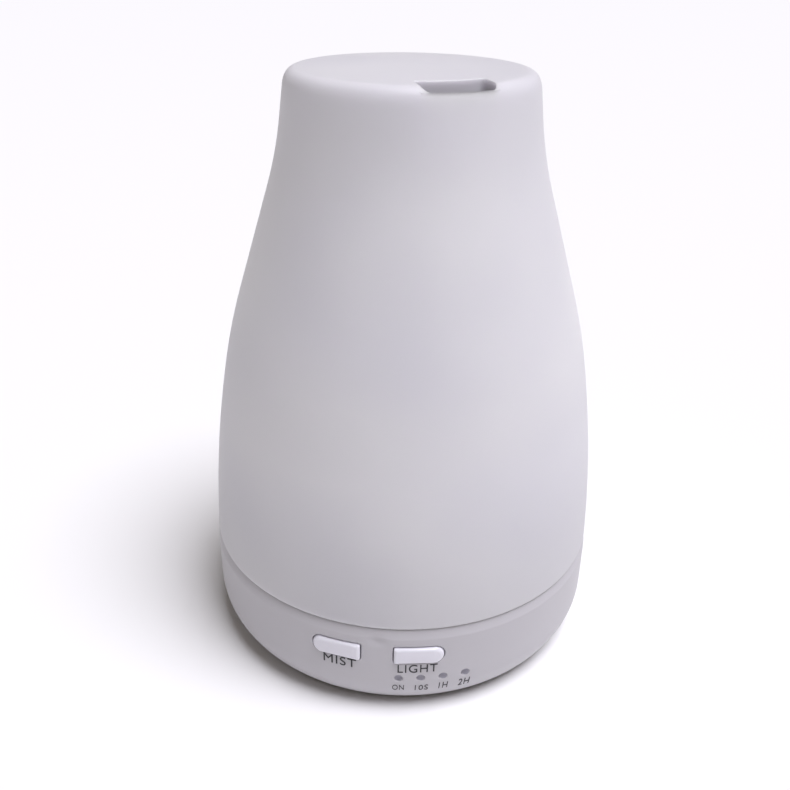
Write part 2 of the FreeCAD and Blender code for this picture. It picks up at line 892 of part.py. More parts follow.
def make_base_housing(doc, size):
    body = new_body(doc, "base_housing")
    inner = size.base_radius - size.base_wall
    centre_radius = size.base_radius - size.base_round
    inner_round = size.base_round - size.base_wall
    bottom_drop = size.round_top - size.base_bottom
    foot_radius = centre_radius + root(size.base_round * size.base_round - bottom_drop * bottom_drop)
    lip_drop = size.round_top - size.lip_top
    lip_outer = centre_radius + root(inner_round * inner_round - lip_drop * lip_drop)
    revolve(body, [
        (size.lip_opening, size.base_bottom),
        (foot_radius, size.base_bottom),
        (size.base_radius, size.round_top, size.base_round),
        (size.base_radius, size.shoulder_foot),
        (size.seam_radius, size.seam_height),
        (size.base_top_inner, size.seam_height),
        (size.base_top_inner, size.ledge_top),
        (size.ledge_radius, size.ledge_top),
        (size.ledge_radius, size.ledge_bottom),
        (inner, size.ledge_bottom),
        (inner, size.round_top),
        (lip_outer, size.lip_top, -inner_round),
        (size.lip_radius, size.lip_top),
        (size.lip_radius, size.lip_bottom),
        (size.lip_opening, size.lip_bottom),
    ])
    add_board_rails(body, size)
    cut_lip_notches(body, size)
    cut_front_openings(body, size)
    cut_front_scoop(body, size)
    inlet = sketch_on(body, "inlet_hole", "XZ_Plane", -(size.base_radius + 1))
    add_circle(inlet, 0, size.jack_axis, size.inlet_hole_radius)
    pocket(body, inlet, size.base_wall + 4, True)
    return body


def add_board_rails(body, size):
    """Two slotted rails behind the front wall that hold the ends of the button board."""
    slot_front = size.button_board_front + size.rail_play
    slot_back = size.button_board_front - size.board_thickness - size.rail_play
    slot_end = size.button_board_half_width + size.rail_play * 2
    for side, name in ((1, "right"), (-1, "left")):
        rail = sketch_on(body, f"{name}_rail", "XY_Plane", size.rail_bottom)
        corners = [
            (size.rail_inner, -size.rail_front),
            (size.rail_front_outer, -size.rail_front),
            (size.rail_back_outer, -size.rail_back),
            (size.rail_inner, -size.rail_back),
            (size.rail_inner, -slot_back),
            (slot_end, -slot_back),
            (slot_end, -slot_front),
            (size.rail_inner, -slot_front),
        ]
        add_loop(rail, [(across * side, up) for across, up in corners])
        pad(body, rail, size.rail_top - size.rail_bottom)


def cut_lip_notches(body, size):
    """Room in the lip for the corners of the fan and for the outer posts of the main board."""
    half = size.fan_side / 2 + size.lip_play
    notch = sketch_on(body, "fan_notch", "XY_Plane", size.lip_bottom)
    add_rectangle(notch, size.fan_x - half, size.fan_y - half, size.fan_x + half, size.fan_y + half)
    pocket(body, notch, size.lip_top - size.lip_bottom, True)
    outer_posts = [(size.main_hole_right, size.main_hole_y * side, size.post_radius + size.lip_play)
                   for side in (1, -1)]
    drill_circles(body, "post_notches", size.lip_bottom, size.lip_top, outer_posts)


def button_outline(size, side, growth):
    """A tongue seen from the front, square towards the middle and round at its outer end."""
    half_width = size.button_half_width + growth
    half_height = size.button_half_height + growth
    middle = size.button_x * side
    outer = middle + half_width * side
    round_start = outer - half_height * side
    square_end = middle - half_width * side
    low = size.button_z - half_height
    high = size.button_z + half_height
    bend = half_height * side
    return [(square_end, high), (square_end, low), (round_start, low), (outer, size.button_z, bend),
            (round_start, high, bend)]


def cut_front_openings(body, size):
    outside = size.base_radius + 1
    for side, name in ((1, "light"), (-1, "mist")):
        opening = sketch_on(body, f"{name}_button_opening", "XZ_Plane", outside)
        add_loop(opening, button_outline(size, side, size.button_gap))
        pocket(body, opening, size.base_wall + 6)
    holes = sketch_on(body, "indicator_holes", "XZ_Plane", outside)
    for number in range(1, INDICATORS + 1):
        hole_radius = size.indicator_radius + size.indicator_play
        add_circle(holes, size.indicator_pitch * number, size.indicator_z, hole_radius)
    pocket(body, holes, size.base_wall + 7)


def cut_front_scoop(body, size):
    """A shallow hollow for a fingertip under the edge of the cover, midway between the buttons."""
    middle = size.scoop_depth - size.base_radius - size.scoop_radius
    drill_circles(body, "front_scoop", size.scoop_low, size.scoop_high, [(0, middle, size.scoop_radius)])


def main_board_holes(size):
    return [
        (size.main_hole_left, size.main_hole_y),
        (size.main_hole_left, -size.main_hole_y),
        (size.main_hole_right, size.main_hole_y),
        (size.main_hole_right, -size.main_hole_y),
    ]


def fan_hole_places(size):
    return [(size.fan_x + size.fan_hole_pitch * across, size.fan_y + size.fan_hole_pitch * along)
            for across, along in HOUSING_CORNERS]


def make_bottom_cover(doc, size):
    body = new_body(doc, "bottom_cover")
    plate = sketch_on(body, "plate", "XY_Plane", size.base_bottom)
    add_circle(plate, 0, 0, size.cover_plate_radius)
    pad(body, plate, size.lip_bottom - size.base_bottom)
    joined = size.lip_bottom - 0.3
    towers = [(*spot, size.screw_tower_radius) for spot in housing_screw_places(size)]
    pad_circles(body, "screw_towers", joined, size.screw_tower_top, towers)
    posts = [(*spot, size.post_radius) for spot in main_board_holes(size)]
    pad_circles(body, "board_posts", joined, size.main_bottom, posts)
    fan_posts = [(*spot, size.fan_post_radius) for spot in fan_hole_places(size)]
    pad_circles(body, "fan_posts", joined, size.fan_bottom, fan_posts)
    recesses = [(*spot, size.foot_recess_radius) for spot in housing_screw_places(size)]
    drill_circles(body, "foot_recesses", size.base_bottom, size.foot_height, recesses)
    heads = [(*spot, size.head_recess_radius) for spot in housing_screw_places(size)]
    drill_circles(body, "head_recesses", size.foot_height, size.foot_height + size.head_recess_depth, heads)
    through = [(*spot, size.housing_screw_hole) for spot in housing_screw_places(size)]
    drill_circles(body, "screw_ways", size.base_bottom, size.screw_tower_top, through)
    drill_circles(body, "board_screw_holes", size.base_bottom + 1.2, size.main_bottom,
                  [(*spot, size.post_hole) for spot in main_board_holes(size)])
    drill_circles(body, "fan_screw_holes", size.base_bottom + 1.0, size.fan_bottom,
                  [(*spot, size.fan_post_hole) for spot in fan_hole_places(size)])
    add_grille(body, size)
    return body


def add_grille(body, size):
    """Round-ended slots under the fan."""
    slots = sketch_on(body, "grille", "XY_Plane", size.lip_bottom + 0.5)
    half = size.grille_slot_half
    left = size.fan_x - size.grille_half_length
    right = size.fan_x + size.grille_half_length
    for number in range(GRILLE_SLOTS):
        middle = size.fan_y + size.grille_pitch * (number - (GRILLE_SLOTS - 1) / 2)
        add_loop(slots, [
            (left, middle - half, half),
            (right, middle - half),
            (right + half, middle, half),
            (right, middle + half, half),
            (left, middle + half),
            (left - half, middle, half),
        ])
    pocket(body, slots, size.lip_bottom + 0.5)


def make_rubber_feet(doc, size):
    feet = []
    for number, centre in enumerate(housing_screw_places(size)):
        feet.append(rod(doc, f"rubber_foot_{number}", size.foot_radius, size.foot_height, (*centre, 0)))
    return group(doc, "rubber_feet", feet)


def make_housing_screws(doc, size):
    seat = size.foot_height + size.head_recess_depth
    screws = []
    for number, centre in enumerate(housing_screw_places(size)):
        screws.append(screw(doc, f"housing_screw_{number}", centre, seat, *SCREWS["housing"],
                            size.boss_hole_top - 1, False))
    return group(doc, "housing_screws", screws)


# ---------------------------------------------------------------- fan


def make_fan_frame(doc, size):
    label = "fan_frame"
    half = size.fan_side / 2
    low = (size.fan_x - half, size.fan_y - half, size.fan_bottom)
    high = (size.fan_x + half, size.fan_y + half, size.fan_bottom + size.fan_height)
    centre = (size.fan_x, size.fan_y)
    top = size.fan_bottom + size.fan_height
    tools = [rod(doc, "fan_bore", size.fan_bore, size.fan_height, (*centre, size.fan_bottom))]
    for number, place_of_hole in enumerate(fan_hole_places(size)):
        foot = (*place_of_hole, size.fan_bottom)
        tools.append(rod(doc, f"fan_hole_{number}", size.fan_frame_hole, size.fan_height, foot))
    ring = cut(doc, "fan_ring", box(doc, "fan_block", low, high), fuse(doc, "fan_openings", tools))
    solids = [ring, rod(doc, "fan_carrier", size.carrier_radius, top - size.carrier_bottom,
                        (*centre, size.carrier_bottom))]
    for number in range(FAN_STRUTS):
        angle = 45 + number * 360 / FAN_STRUTS
        strut = doc.addObject("Part::Box", f"fan_strut_{number}")
        bind(strut, "Length", size.fan_bore - 4)
        bind(strut, "Width", size.strut_width)
        bind(strut, "Height", top - size.carrier_bottom)
        turn = FreeCAD.Rotation(FreeCAD.Vector(0, 0, 1), angle)
        corner = turn.multVec(FreeCAD.Vector(5, -size.strut_width.number / 2, 0))
        place(strut, (size.fan_x + corner.x, size.fan_y + corner.y, size.carrier_bottom), turn)
        solids.append(strut)
    whole = fuse(doc, "fan_frame_blank", solids)
    bush_hole = rod(doc, "fan_bush_hole", size.bush_radius, top - size.carrier_bottom,
                    (*centre, size.carrier_bottom))
    return cut(doc, label, whole, bush_hole)


def make_fan_rotor(doc, size):
    """A cup-shaped hub with pitched blades around it."""
    centre = (size.fan_x, size.fan_y)
    cup = cut(doc, "hub_cup",
              rod(doc, "hub_outside", size.hub_radius, size.hub_top - size.hub_bottom, (*centre, size.hub_bottom)),
              rod(doc, "hub_inside", size.hub_radius - size.hub_wall, size.hub_top - size.hub_floor,
                  (*centre, size.hub_floor)))
    blades = []
    for number in range(FAN_BLADES):
        blade = doc.addObject("Part::Box", f"fan_blade_{number}")
        bind(blade, "Length", size.blade_tip)
        bind(blade, "Width", size.blade_thickness)
        bind(blade, "Height", 14)
        spin = FreeCAD.Rotation(FreeCAD.Vector(0, 0, 1), number * 360 / FAN_BLADES)
        lean = FreeCAD.Rotation(FreeCAD.Vector(1, 0, 0), size.blade_pitch.number)
        turn = spin.multiply(lean)
        corner = turn.multVec(FreeCAD.Vector(0, -size.blade_thickness.number / 2, -7))
        middle = (size.blade_bottom + size.blade_top) / 2
        place(blade, (size.fan_x + corner.x, size.fan_y + corner.y, middle + corner.z), turn)
        blades.append(blade)
    sweep = tube(doc, "blade_sweep", size.blade_tip, size.hub_radius - 0.3, size.blade_bottom,
                 size.blade_top, centre)
    trimmed = common(doc, "trimmed_blades", [fuse(doc, "blade_set", blades), sweep])
    socket = rod(doc, "hub_shaft_socket", size.shaft_radius, 1, (*centre, size.hub_floor - 0.6))
    return cut(doc, "fan_rotor", fuse(doc, "rotor_blank", [cup, trimmed]), socket)


def make_fan_shaft(doc, size):
    foot = size.hub_floor - 0.6
    top = size.fan_bottom + size.fan_height - 0.6
    return rod(doc, "fan_shaft", size.shaft_radius, top - foot, (size.fan_x, size.fan_y, foot))


def make_fan_magnet(doc, size):
    return tube(doc, "fan_magnet", size.hub_radius - size.hub_wall, size.magnet_inner,
                size.hub_floor + 0.3, size.hub_top - 0.4, (size.fan_x, size.fan_y))


def make_fan_bush(doc, size):
    return tube(doc, "fan_bush", size.bush_radius, size.bush_bore, size.hub_floor + 0.6,
                size.fan_bottom + size.fan_height, (size.fan_x, size.fan_y))


def make_fan_stator(doc, size):
    """The wound core on the bush, with four flat sides."""
    centre = (size.fan_x, size.fan_y)
    low = size.hub_floor + 1
    high = size.carrier_bottom - 0.3
    half = size.coil_radius * 0.8
    block = box(doc, "stator_block", (size.fan_x - half, size.fan_y - half, low),
                (size.fan_x + half, size.fan_y + half, high))
    drum = rod(doc, "stator_drum", size.coil_radius, high - low, (*centre, low))
    bore = rod(doc, "stator_bore", size.bush_radius, high - low, (*centre, low))
    return cut(doc, "fan_stator", common(doc, "stator_blank", [block, drum]), bore)


def make_fan_screws(doc, size):
    screws = []
    for number, centre in enumerate(fan_hole_places(size)):
        screws.append(screw(doc, f"fan_screw_{number}", centre, size.fan_bottom + size.fan_height,
                            *SCREWS["fan"], size.base_bottom + 1.2, True))
    return group(doc, "fan_screws", screws)


# ---------------------------------------------------------------- main board


def main_top(size):
    return size.main_bottom + size.board_thickness


def make_main_board(doc, size):
    body = new_body(doc, "main_board")
    outline = sketch_on(body, "main_board_outline", "XY_Plane", size.main_bottom)
    add_loop(outline, [
        (size.main_left, -size.main_half_depth),
        (size.main_right, -size.main_half_depth),
        (size.main_right, size.main_half_depth),
        (size.neck_right, size.main_half_depth),
        (size.neck_right, size.neck_back),
        (size.main_left, size.neck_back),
    ])
    pad(body, outline, size.board_thickness)
    drill_circles(body, "main_board_holes", size.main_bottom, main_top(size),
                  [(*spot, size.main_screw_hole) for spot in main_board_holes(size)])
    return body


def make_main_board_screws(doc, size):
    screws = []
    for number, centre in enumerate(main_board_holes(size)):
        screws.append(screw(doc, f"board_screw_{number}", centre, main_top(size),
                            *SCREWS["board"], size.base_bottom + 1.4, True))
    return group(doc, "main_board_screws", screws)


def make_driver_coil(doc, size):
    """A wound coil between two ferrite cheeks."""
    body = new_body(doc, "driver_coil")
    low = main_top(size)
    revolve(body, [
        (0, low),
        (4, low),
        (4, low + 1),
        (3.3, low + 1),
        (3.3, low + 6),
        (4, low + 6),
        (4, low + 7),
        (0, low + 7),
    ])
    place(body, (33, 7, 0))
    return body


def make_capacitors(doc, size):
    low = main_top(size)
    cans = []
    for number, (across, along, radius, height) in enumerate([(14, 8, 2.5, 5), (0, 21, 3.15, 7.5), (4, 7, 2, 5)]):
        cans.append(rod(doc, f"capacitor_{number}", radius, height, (across, along, low)))
    return group(doc, "capacitors", cans)


def make_heat_sink(doc, size):
    """A U-shaped fin around the transistor."""
    low = main_top(size)
    block = box(doc, "heat_sink_block", (29, -4, low), (37, 1, low + 8))
    gap = box(doc, "heat_sink_gap", (30, -3, low), (36, 1, low + 8))
    return cut(doc, "heat_sink", block, gap)


def make_power_transistor(doc, size):
    low = main_top(size)
    return box(doc, "power_transistor", (30.5, -2.9, low), (35.5, -1.3, low + 7))


def make_controller_chip(doc, size):
    low = main_top(size)
    solids = [box(doc, "chip_block", (16, -11, low + 0.3), (24, -6, low + 1.8))]
    for number in range(6):
        across = 16.6 + number * 1.3
        solids.append(box(doc, f"chip_leg_{number}", (across, -12, low), (across + 0.4, -5, low + 0.6)))
    return fuse(doc, "controller_chip", solids)


def make_connectors(doc, size):
    """Four sockets, each open towards the wires that enter it."""
    low = main_top(size)
    places = [
        ("disc", (23, -3, low), (28.5, 3, low + 4.4), (22, -2, low + 0.8), (27, 2, low + 3.6)),
        ("fan", (-5, -9.6, low), (0.5, -4.4, low + 4.4), (-6, -8.8, low + 0.8), (-1, -5.2, low + 3.6)),
        ("light", (28.6, -12, low), (34.6, -6, low + 4.4), (27.6, -11, low + 0.8), (33.1, -7, low + 3.6)),
        ("ribbon", (3.6, -14, low), (12.4, -9, low + 4.4), (4.4, -15, low + 0.8), (11.6, -10.5, low + 3.6)),
    ]
    sockets = []
    for name, start, end, hollow_start, hollow_end in places:
        shell = box(doc, f"{name}_socket_block", start, end)
        hollow = box(doc, f"{name}_socket_hollow", hollow_start, hollow_end)
        sockets.append(cut(doc, f"{name}_socket", shell, hollow))
    back = -(size.button_board_front - size.board_thickness)
    shell = box(doc, "button_socket_block", (3.6, back, 9.2), (12.4, back + 4.5, 13.6))
    hollow = box(doc, "button_socket_hollow", (4.4, back + 1.2, 10), (11.6, back + 5, 12.8))
    sockets.append(cut(doc, "button_socket", shell, hollow))
    return group(doc, "connectors", sockets)


def make_disc_leads(doc, size):
    routes = []
    for side in (-1, 1):
        along = size.lead_half_pitch.number * side
        routes.append([
            (size.disc_x + 2, along, size.electrode_bottom),
            (size.disc_x + 2, along, size.lead_height),
            (26.5, along, size.lead_height),
        ])
    return wires(doc, "disc_leads", routes, size)


def make_fan_leads(doc, size):
    edge = size.fan_x + size.fan_side / 2
    routes = []
    for side in (-1, 1):
        along = -7 + size.lead_half_pitch.number * side
        routes.append([
            (edge, along, 12),
            (edge + 1.8, along, 12),
            (edge + 1.8, along, size.lead_height),
            (-1.5, along, size.lead_height),
        ])
    return wires(doc, "fan_leads", routes, size)


def make_light_leads(doc, size):
    routes = []
    for side in (-1, 1):
        along = -9 + size.lead_half_pitch.number * side
        routes.append([
            (25.2, along, size.light_bottom),
            (25.2, along, size.lead_height),
            (32.6, along, size.lead_height),
        ])
    return wires(doc, "light_leads", routes, size)


def make_button_ribbon(doc, size):
    back = -(size.button_board_front - size.board_thickness)
    routes = []
    for number in range(RIBBON_WIRES):
        across = 8 + size.ribbon_pitch.number * (number - (RIBBON_WIRES - 1) / 2)
        routes.append([
            (across, back + 1.6, 11.4),
            (across, -26, 11.4),
            (across, -21, size.lead_height),
            (across, -11, size.lead_height),
        ])
    return wires(doc, "button_ribbon", routes, size)


# ---------------------------------------------------------------- power inlet


def make_dc_jack(doc, size):
    """A board-mounted socket with a round nose that sits in the inlet hole."""
    low = main_top(size)
    block = box(doc, "jack_block", (-size.jack_half_width, size.jack_back, low),
                (size.jack_half_width, size.jack_front, size.jack_top))
    nose = rod(doc, "jack_nose", size.jack_nose_radius, size.jack_nose_front - size.jack_back,
               (0, size.jack_back, size.jack_axis), "y")
    socket = rod(doc, "jack_socket", size.jack_socket_radius, size.jack_socket_depth,
                 (0, size.jack_nose_front - size.jack_socket_depth, size.jack_axis), "y")
    pin_hole = rod(doc, "jack_pin_hole", size.jack_root_radius, size.jack_nose_front - size.jack_pin_tail,
                   (0, size.jack_pin_tail, size.jack_axis), "y")
    return cut(doc, "dc_jack", fuse(doc, "jack_body", [block, nose]), fuse(doc, "jack_bores", [socket, pin_hole]))


def make_dc_pin(doc, size):
    """The contact pin, with a thinner root pressed into the socket body."""
    contact = rod(doc, "pin_contact", size.jack_pin_radius, size.jack_pin_tip - size.jack_pin_neck,
                  (0, size.jack_pin_neck, size.jack_axis), "y")
    root_part = rod(doc, "pin_root", size.jack_root_radius, size.jack_pin_neck - size.jack_pin_tail,
                    (0, size.jack_pin_tail, size.jack_axis), "y")
    return fuse(doc, "dc_pin", [contact, root_part])


# ---------------------------------------------------------------- buttons


def make_button_board(doc, size):
    back = size.button_board_front - size.board_thickness
    return box(doc, "button_board", (-size.button_board_half_width, -size.button_board_front, size.button_board_low),
               (size.button_board_half_width, -back, size.button_board_high))


def make_button(doc, size, label, side):
    """A tongue with a flange behind the wall and a stem that reaches the switch."""
    body = new_body(doc, label)
    front = size.button_face_radius + 1
    tongue = sketch_on(body, f"{label}_tongue", "XZ_Plane", size.button_back)
    add_loop(tongue, button_outline(size, side, 0))
    pad(body, tongue, front - size.button_back)
    flange = sketch_on(body, f"{label}_flange", "XZ_Plane", size.button_back)
    middle = size.button_x * side
    add_rectangle(flange, middle - size.button_flange_half_width, size.button_z - size.button_flange_half_height,
                  middle + size.button_flange_half_width, size.button_z + size.button_flange_half_height)
    pad(body, flange, size.button_flange - size.button_back)
    stem = sketch_on(body, f"{label}_stem", "XZ_Plane", size.button_stem_end)
    add_circle(stem, middle, size.button_z, size.button_stem_radius)
    pad(body, stem, size.button_back - size.button_stem_end + 0.2)
    face = sketch_on(body, f"{label}_face", "XZ_Plane")
    low = size.button_z - size.button_half_height - 2
    high = size.button_z + size.button_half_height + 2
    add_rectangle(face, size.button_face_radius, low, front + 12, high)
    before = body.Shape.Volume
    groove = body.newObject("PartDesign::Groove", f"{label}_face_groove")
    groove.Profile = face
    groove.ReferenceAxis = (face, ["V_Axis"])
    groove.Angle = 360
    doc.recompute()
    if body.Shape.Volume > before - 1e-6:
        raise RuntimeError(f"the face of {label} isn't cut")
    return body


def make_switch(doc, size, label, side):
    middle = size.button_x * side
    block = box(doc, name_of(label, "block"),
                (middle - size.switch_half_width, -size.switch_front, size.switch_low),
                (middle + size.switch_half_width, -size.button_board_front, size.switch_high))
    bore = rod(doc, name_of(label, "bore"), size.plunger_bore, size.switch_front - size.plunger_bore_end,
               (middle, -size.switch_front, size.button_z), "y")
    return cut(doc, label, block, bore)


def make_plunger(doc, size, label, side):
    return rod(doc, label, size.plunger_radius, size.plunger_front - size.plunger_back,
               (size.button_x * side, -size.plunger_front, size.button_z), "y")


def make_indicator_leds(doc, size):
    leds = []
    for number in range(1, INDICATORS + 1):
        middle = size.indicator_pitch * number
        leds.append(box(doc, f"indicator_led_{number}",
                        (middle - 0.8, -size.indicator_back, size.indicator_z - 0.6),
                        (middle + 0.8, -size.button_board_front, size.indicator_z + 0.6)))
    return group(doc, "indicator_leds", leds)


def make_indicator_lenses(doc, size):
    """Light pipes from the indicator LEDs to small dimples in the curved front wall."""
    lenses = []
    for number in range(1, INDICATORS + 1):
        middle = size.indicator_pitch * number
        face = root(size.base_radius * size.base_radius - middle * middle) - size.indicator_recess
        lenses.append(rod(doc, f"indicator_lens_{number}", size.indicator_radius, face - size.indicator_back,
                          (middle, -face, size.indicator_z), "y"))
    return group(doc, "indicator_lenses", lenses)


# ---------------------------------------------------------------- the whole object


def check_document(doc):
    for item in doc.Objects:
        if "Invalid" in item.State or "Error" in item.State:
            raise RuntimeError(f"{item.Label} failed: {item.State}")


def export(node):
    shape = node.Shape
    if shape.isNull() or not shape.isValid():
        raise RuntimeError(f"{node.Label} has no valid shape")
    shape.exportStep(f"parts/{node.Label}.step")
    print(f"{node.Label}: {len(shape.Solids)} solids, {shape.Volume:.1f} mm3")


def main():
    os.makedirs("parts", exist_ok=True)
    doc = FreeCAD.newDocument("humidifier")
    size = make_sheet(doc)
    makers = [
        make_cover, make_water_tank, make_fan_collar, make_air_duct, make_duct_cap, make_tank_seal, make_ultrasonic_disc,
        make_disc_gasket, make_disc_clamp, make_disc_clamp_screws, make_light_board, make_light_leds,
        make_light_board_screws, make_base_housing, make_bottom_cover, make_rubber_feet, make_housing_screws,
        make_fan_frame, make_fan_rotor, make_fan_shaft, make_fan_magnet, make_fan_bush, make_fan_stator,
        make_fan_screws, make_main_board, make_main_board_screws, make_driver_coil, make_capacitors,
        make_heat_sink, make_power_transistor, make_controller_chip, make_connectors, make_disc_leads,
        make_fan_leads, make_light_leads, make_button_ribbon, make_dc_jack, make_dc_pin, make_button_board,
        make_indicator_leds, make_indicator_lenses,
    ]
    nodes = [make(doc, size) for make in makers]
    for side, name in ((1, "light"), (-1, "mist")):
        nodes.append(make_button(doc, size, f"{name}_button", side))
        nodes.append(make_switch(doc, size, f"{name}_switch", side))
        nodes.append(make_plunger(doc, size, f"{name}_switch_plunger", side))
    doc.recompute()
    check_document(doc)
    for node in nodes:
        export(node)


main()
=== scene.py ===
import math

import bpy
from mathutils import Matrix, Vector


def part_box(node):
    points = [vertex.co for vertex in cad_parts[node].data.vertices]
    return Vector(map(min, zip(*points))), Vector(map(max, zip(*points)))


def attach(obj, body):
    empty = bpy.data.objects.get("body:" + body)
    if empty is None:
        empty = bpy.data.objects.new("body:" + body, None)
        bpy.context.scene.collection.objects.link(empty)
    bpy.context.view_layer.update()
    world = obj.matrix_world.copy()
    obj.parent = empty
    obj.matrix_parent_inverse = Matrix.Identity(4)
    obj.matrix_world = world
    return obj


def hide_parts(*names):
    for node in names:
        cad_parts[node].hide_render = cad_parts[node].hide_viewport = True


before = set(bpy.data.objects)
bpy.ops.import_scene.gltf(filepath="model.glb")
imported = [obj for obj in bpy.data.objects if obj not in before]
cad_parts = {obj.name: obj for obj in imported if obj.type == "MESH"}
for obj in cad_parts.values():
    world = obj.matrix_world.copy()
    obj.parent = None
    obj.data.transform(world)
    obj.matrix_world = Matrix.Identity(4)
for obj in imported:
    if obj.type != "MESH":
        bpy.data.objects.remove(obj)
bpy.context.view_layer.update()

# A cool mist humidifier: a frosted cover over a low base with two buttons and four timer lamps.
# Sizes are in millimetres and are turned to metres as each piece is made. The front is -Y.

MM = 0.001

# Outline of the cover, as two bulging arcs, a straight flank, a hollow arc and a rounded top.
SEAM_HEIGHT = 25.0
SEAM_RADIUS = 47.75
BODY_FOOT = (48.27, 26.0)
FOOT_LEAN = 1.7
BELLY_RADIUS = 293.0
BELLY_LEAN = 10.7
SHOULDER_RADIUS = 147.5
FLANK_LEAN = 17.1
FLANK_LENGTH = 26.4
NECK_RADIUS = 86.0
NECK_LEAN = 7.3
TOP_ROUND_HEIGHT = 133.8
TOP_FACE_RADIUS = 24.3
TOP_FACE_HEIGHT = 137.4
TOTAL_HEIGHT = 138.0
COVER_WALL = 1.8
CEILING_HEIGHT = 136.0

# The mist slot near the rim of the top, and the chute under it.
SLOT_AZIMUTH = 27.3
SLOT_HALF_WIDTH = 7.75
SLOT_INNER_RADIUS = 20.9
SLOT_OUTER_RADIUS = 26.7
SLOT_CORNER = 1.4
SLOT_EDGE = 0.2
CHUTE_WALL = 1.2
CHUTE_BOTTOM = 124.0
CHUTE_TOP_RADIUS = 26.9

# The base housing: an upright wall between a sloping shoulder and a large bottom round.
BASE_RADIUS = 48.5
BASE_WALL = 2.0
SHOULDER_FOOT = 22.5
ROUND_RADIUS = 14.0
ROUND_TOP = 11.5
BASE_BOTTOM = 0.8
RIM_INNER_RADIUS = 46.2
LEDGE_RADIUS = 44.1
LEDGE_TOP = 22.2
LEDGE_BOTTOM = 20.7
LIP_RADIUS = 39.6
LIP_OPENING = 41.7
LIP_BOTTOM = 2.6
LIP_TOP = 4.6
SCOOP = (0.0, 21.7)
SCOOP_HALF = (3.1, 1.9)
SCOOP_DEPTH = 0.55
INLET_RADIUS = 4.0
INLET_Z = 11.6

# Buttons, lamps and lettering, measured on the front wall.
BUTTON_X = 9.45
BUTTON_Z = 17.95
BUTTON_HALF_WIDTH = 5.6
BUTTON_HALF_HEIGHT = 2.2
BUTTON_FACE_RADIUS = 49.2
BUTTON_CORNER = 0.45
BUTTON_EDGE = 0.7
BUTTON_GAP = 0.22
OPENING_EDGE = 0.3
STEM_RADIUS = 1.5
STEM_END = 41.92
FLANGE_BACK = 42.3
FLANGE_FRONT = 43.3
FLANGE_HALF_WIDTH = 6.6
FLANGE_HALF_HEIGHT = 2.5
LAMP_PITCH = 5.0
LAMP_Z = 11.05
LAMP_RADIUS = 0.9
LAMP_BORE = 0.95
LAMP_EDGE = 0.2
LAMP_RECESS = 0.3
INK_THICKNESS = 0.06
LETTER_SPACING = 1.12

FLOOR_SIZE = 8.0
SKY_STRENGTH = 0.13

# Where the viewer stands: distance and height from the foot of the object, and the way the lens points.
VIEW_AZIMUTH = 5.75
VIEW_DISTANCE = 201.4
VIEW_HEIGHT = 163.4
VIEW_TURN = 0.68
VIEW_TILT = 27.42
VIEW_ROLL = 1.055
LENS = 41.016


# ---------------------------------------------------------------- materials


def linear(code, alpha=1.0):
    """An sRGB hex colour as the linear values that a shader takes."""
    channels = [int(code[start:start + 2], 16) / 255 for start in (0, 2, 4)]
    return tuple(c / 12.92 if c <= 0.04045 else ((c + 0.055) / 1.055) ** 2.4 for c in channels) + (alpha,)


def add_node(material, kind, links=(), **settings):
    """One node with its settings, and its links given as (socket here, node, socket there)."""
    node = material.node_tree.nodes.new(kind)
    for name, value in settings.items():
        if name in node.inputs:
            node.inputs[name].default_value = value
        else:
            setattr(node, name, value)
    for socket, source, output in links:
        material.node_tree.links.new(source.outputs[output], node.inputs[socket])
    return node


def new_material(name, base, roughness, ior=1.49, **sockets):
    material = bpy.data.materials.new(name)
    material.use_nodes = True
    shader = material.node_tree.nodes["Principled BSDF"]
    shader.inputs["Base Color"].default_value = linear(base)
    shader.inputs["Roughness"].default_value = roughness
    shader.inputs["IOR"].default_value = ior
    for socket, value in sockets.items():
        shader.inputs[socket.replace("_", " ")].default_value = value
    material.diffuse_color = linear(base)
    return material


def add_grain(material, size, depth, roughness=None, spread=0.06):
    """A fine moulded grain, its size and depth in millimetres, on the surface and in its shine."""
    shader = material.node_tree.nodes["Principled BSDF"]
    place = add_node(material, "ShaderNodeTexCoord")
    noise = add_node(material, "ShaderNodeTexNoise", [("Vector", place, "Object")],
                     Scale=1 / (size * MM), Detail=3.0, Roughness=0.6)
    bump = add_node(material, "ShaderNodeBump", [("Height", noise, "Fac")], Strength=1.0, Distance=depth * MM)
    material.node_tree.links.new(bump.outputs["Normal"], shader.inputs["Normal"])
    if roughness is not None:
        shine = add_node(material, "ShaderNodeMapRange", [("Value", noise, "Fac")])
        shine.inputs["To Min"].default_value = roughness - spread
        shine.inputs["To Max"].default_value = roughness + spread
        material.node_tree.links.new(shine.outputs["Result"], shader.inputs["Roughness"])


def add_clouding(material, light, dark, size):
    """Slow drifts of tone, as a translucent moulding often shows."""
    shader = material.node_tree.nodes["Principled BSDF"]
    place = add_node(material, "ShaderNodeTexCoord")
    cloud = add_node(material, "ShaderNodeTexNoise", [("Vector", place, "Object")],
                     Scale=1 / (size * MM), Detail=1.0, Roughness=0.4)
    ramp = add_node(material, "ShaderNodeValToRGB", [("Fac", cloud, "Fac")])
    ramp.color_ramp.elements[0].position = 0.35
    ramp.color_ramp.elements[0].color = linear(dark)
    ramp.color_ramp.elements[1].position = 0.65
    ramp.color_ramp.elements[1].color = linear(light)
    material.node_tree.links.new(ramp.outputs["Color"], shader.inputs["Base Color"])


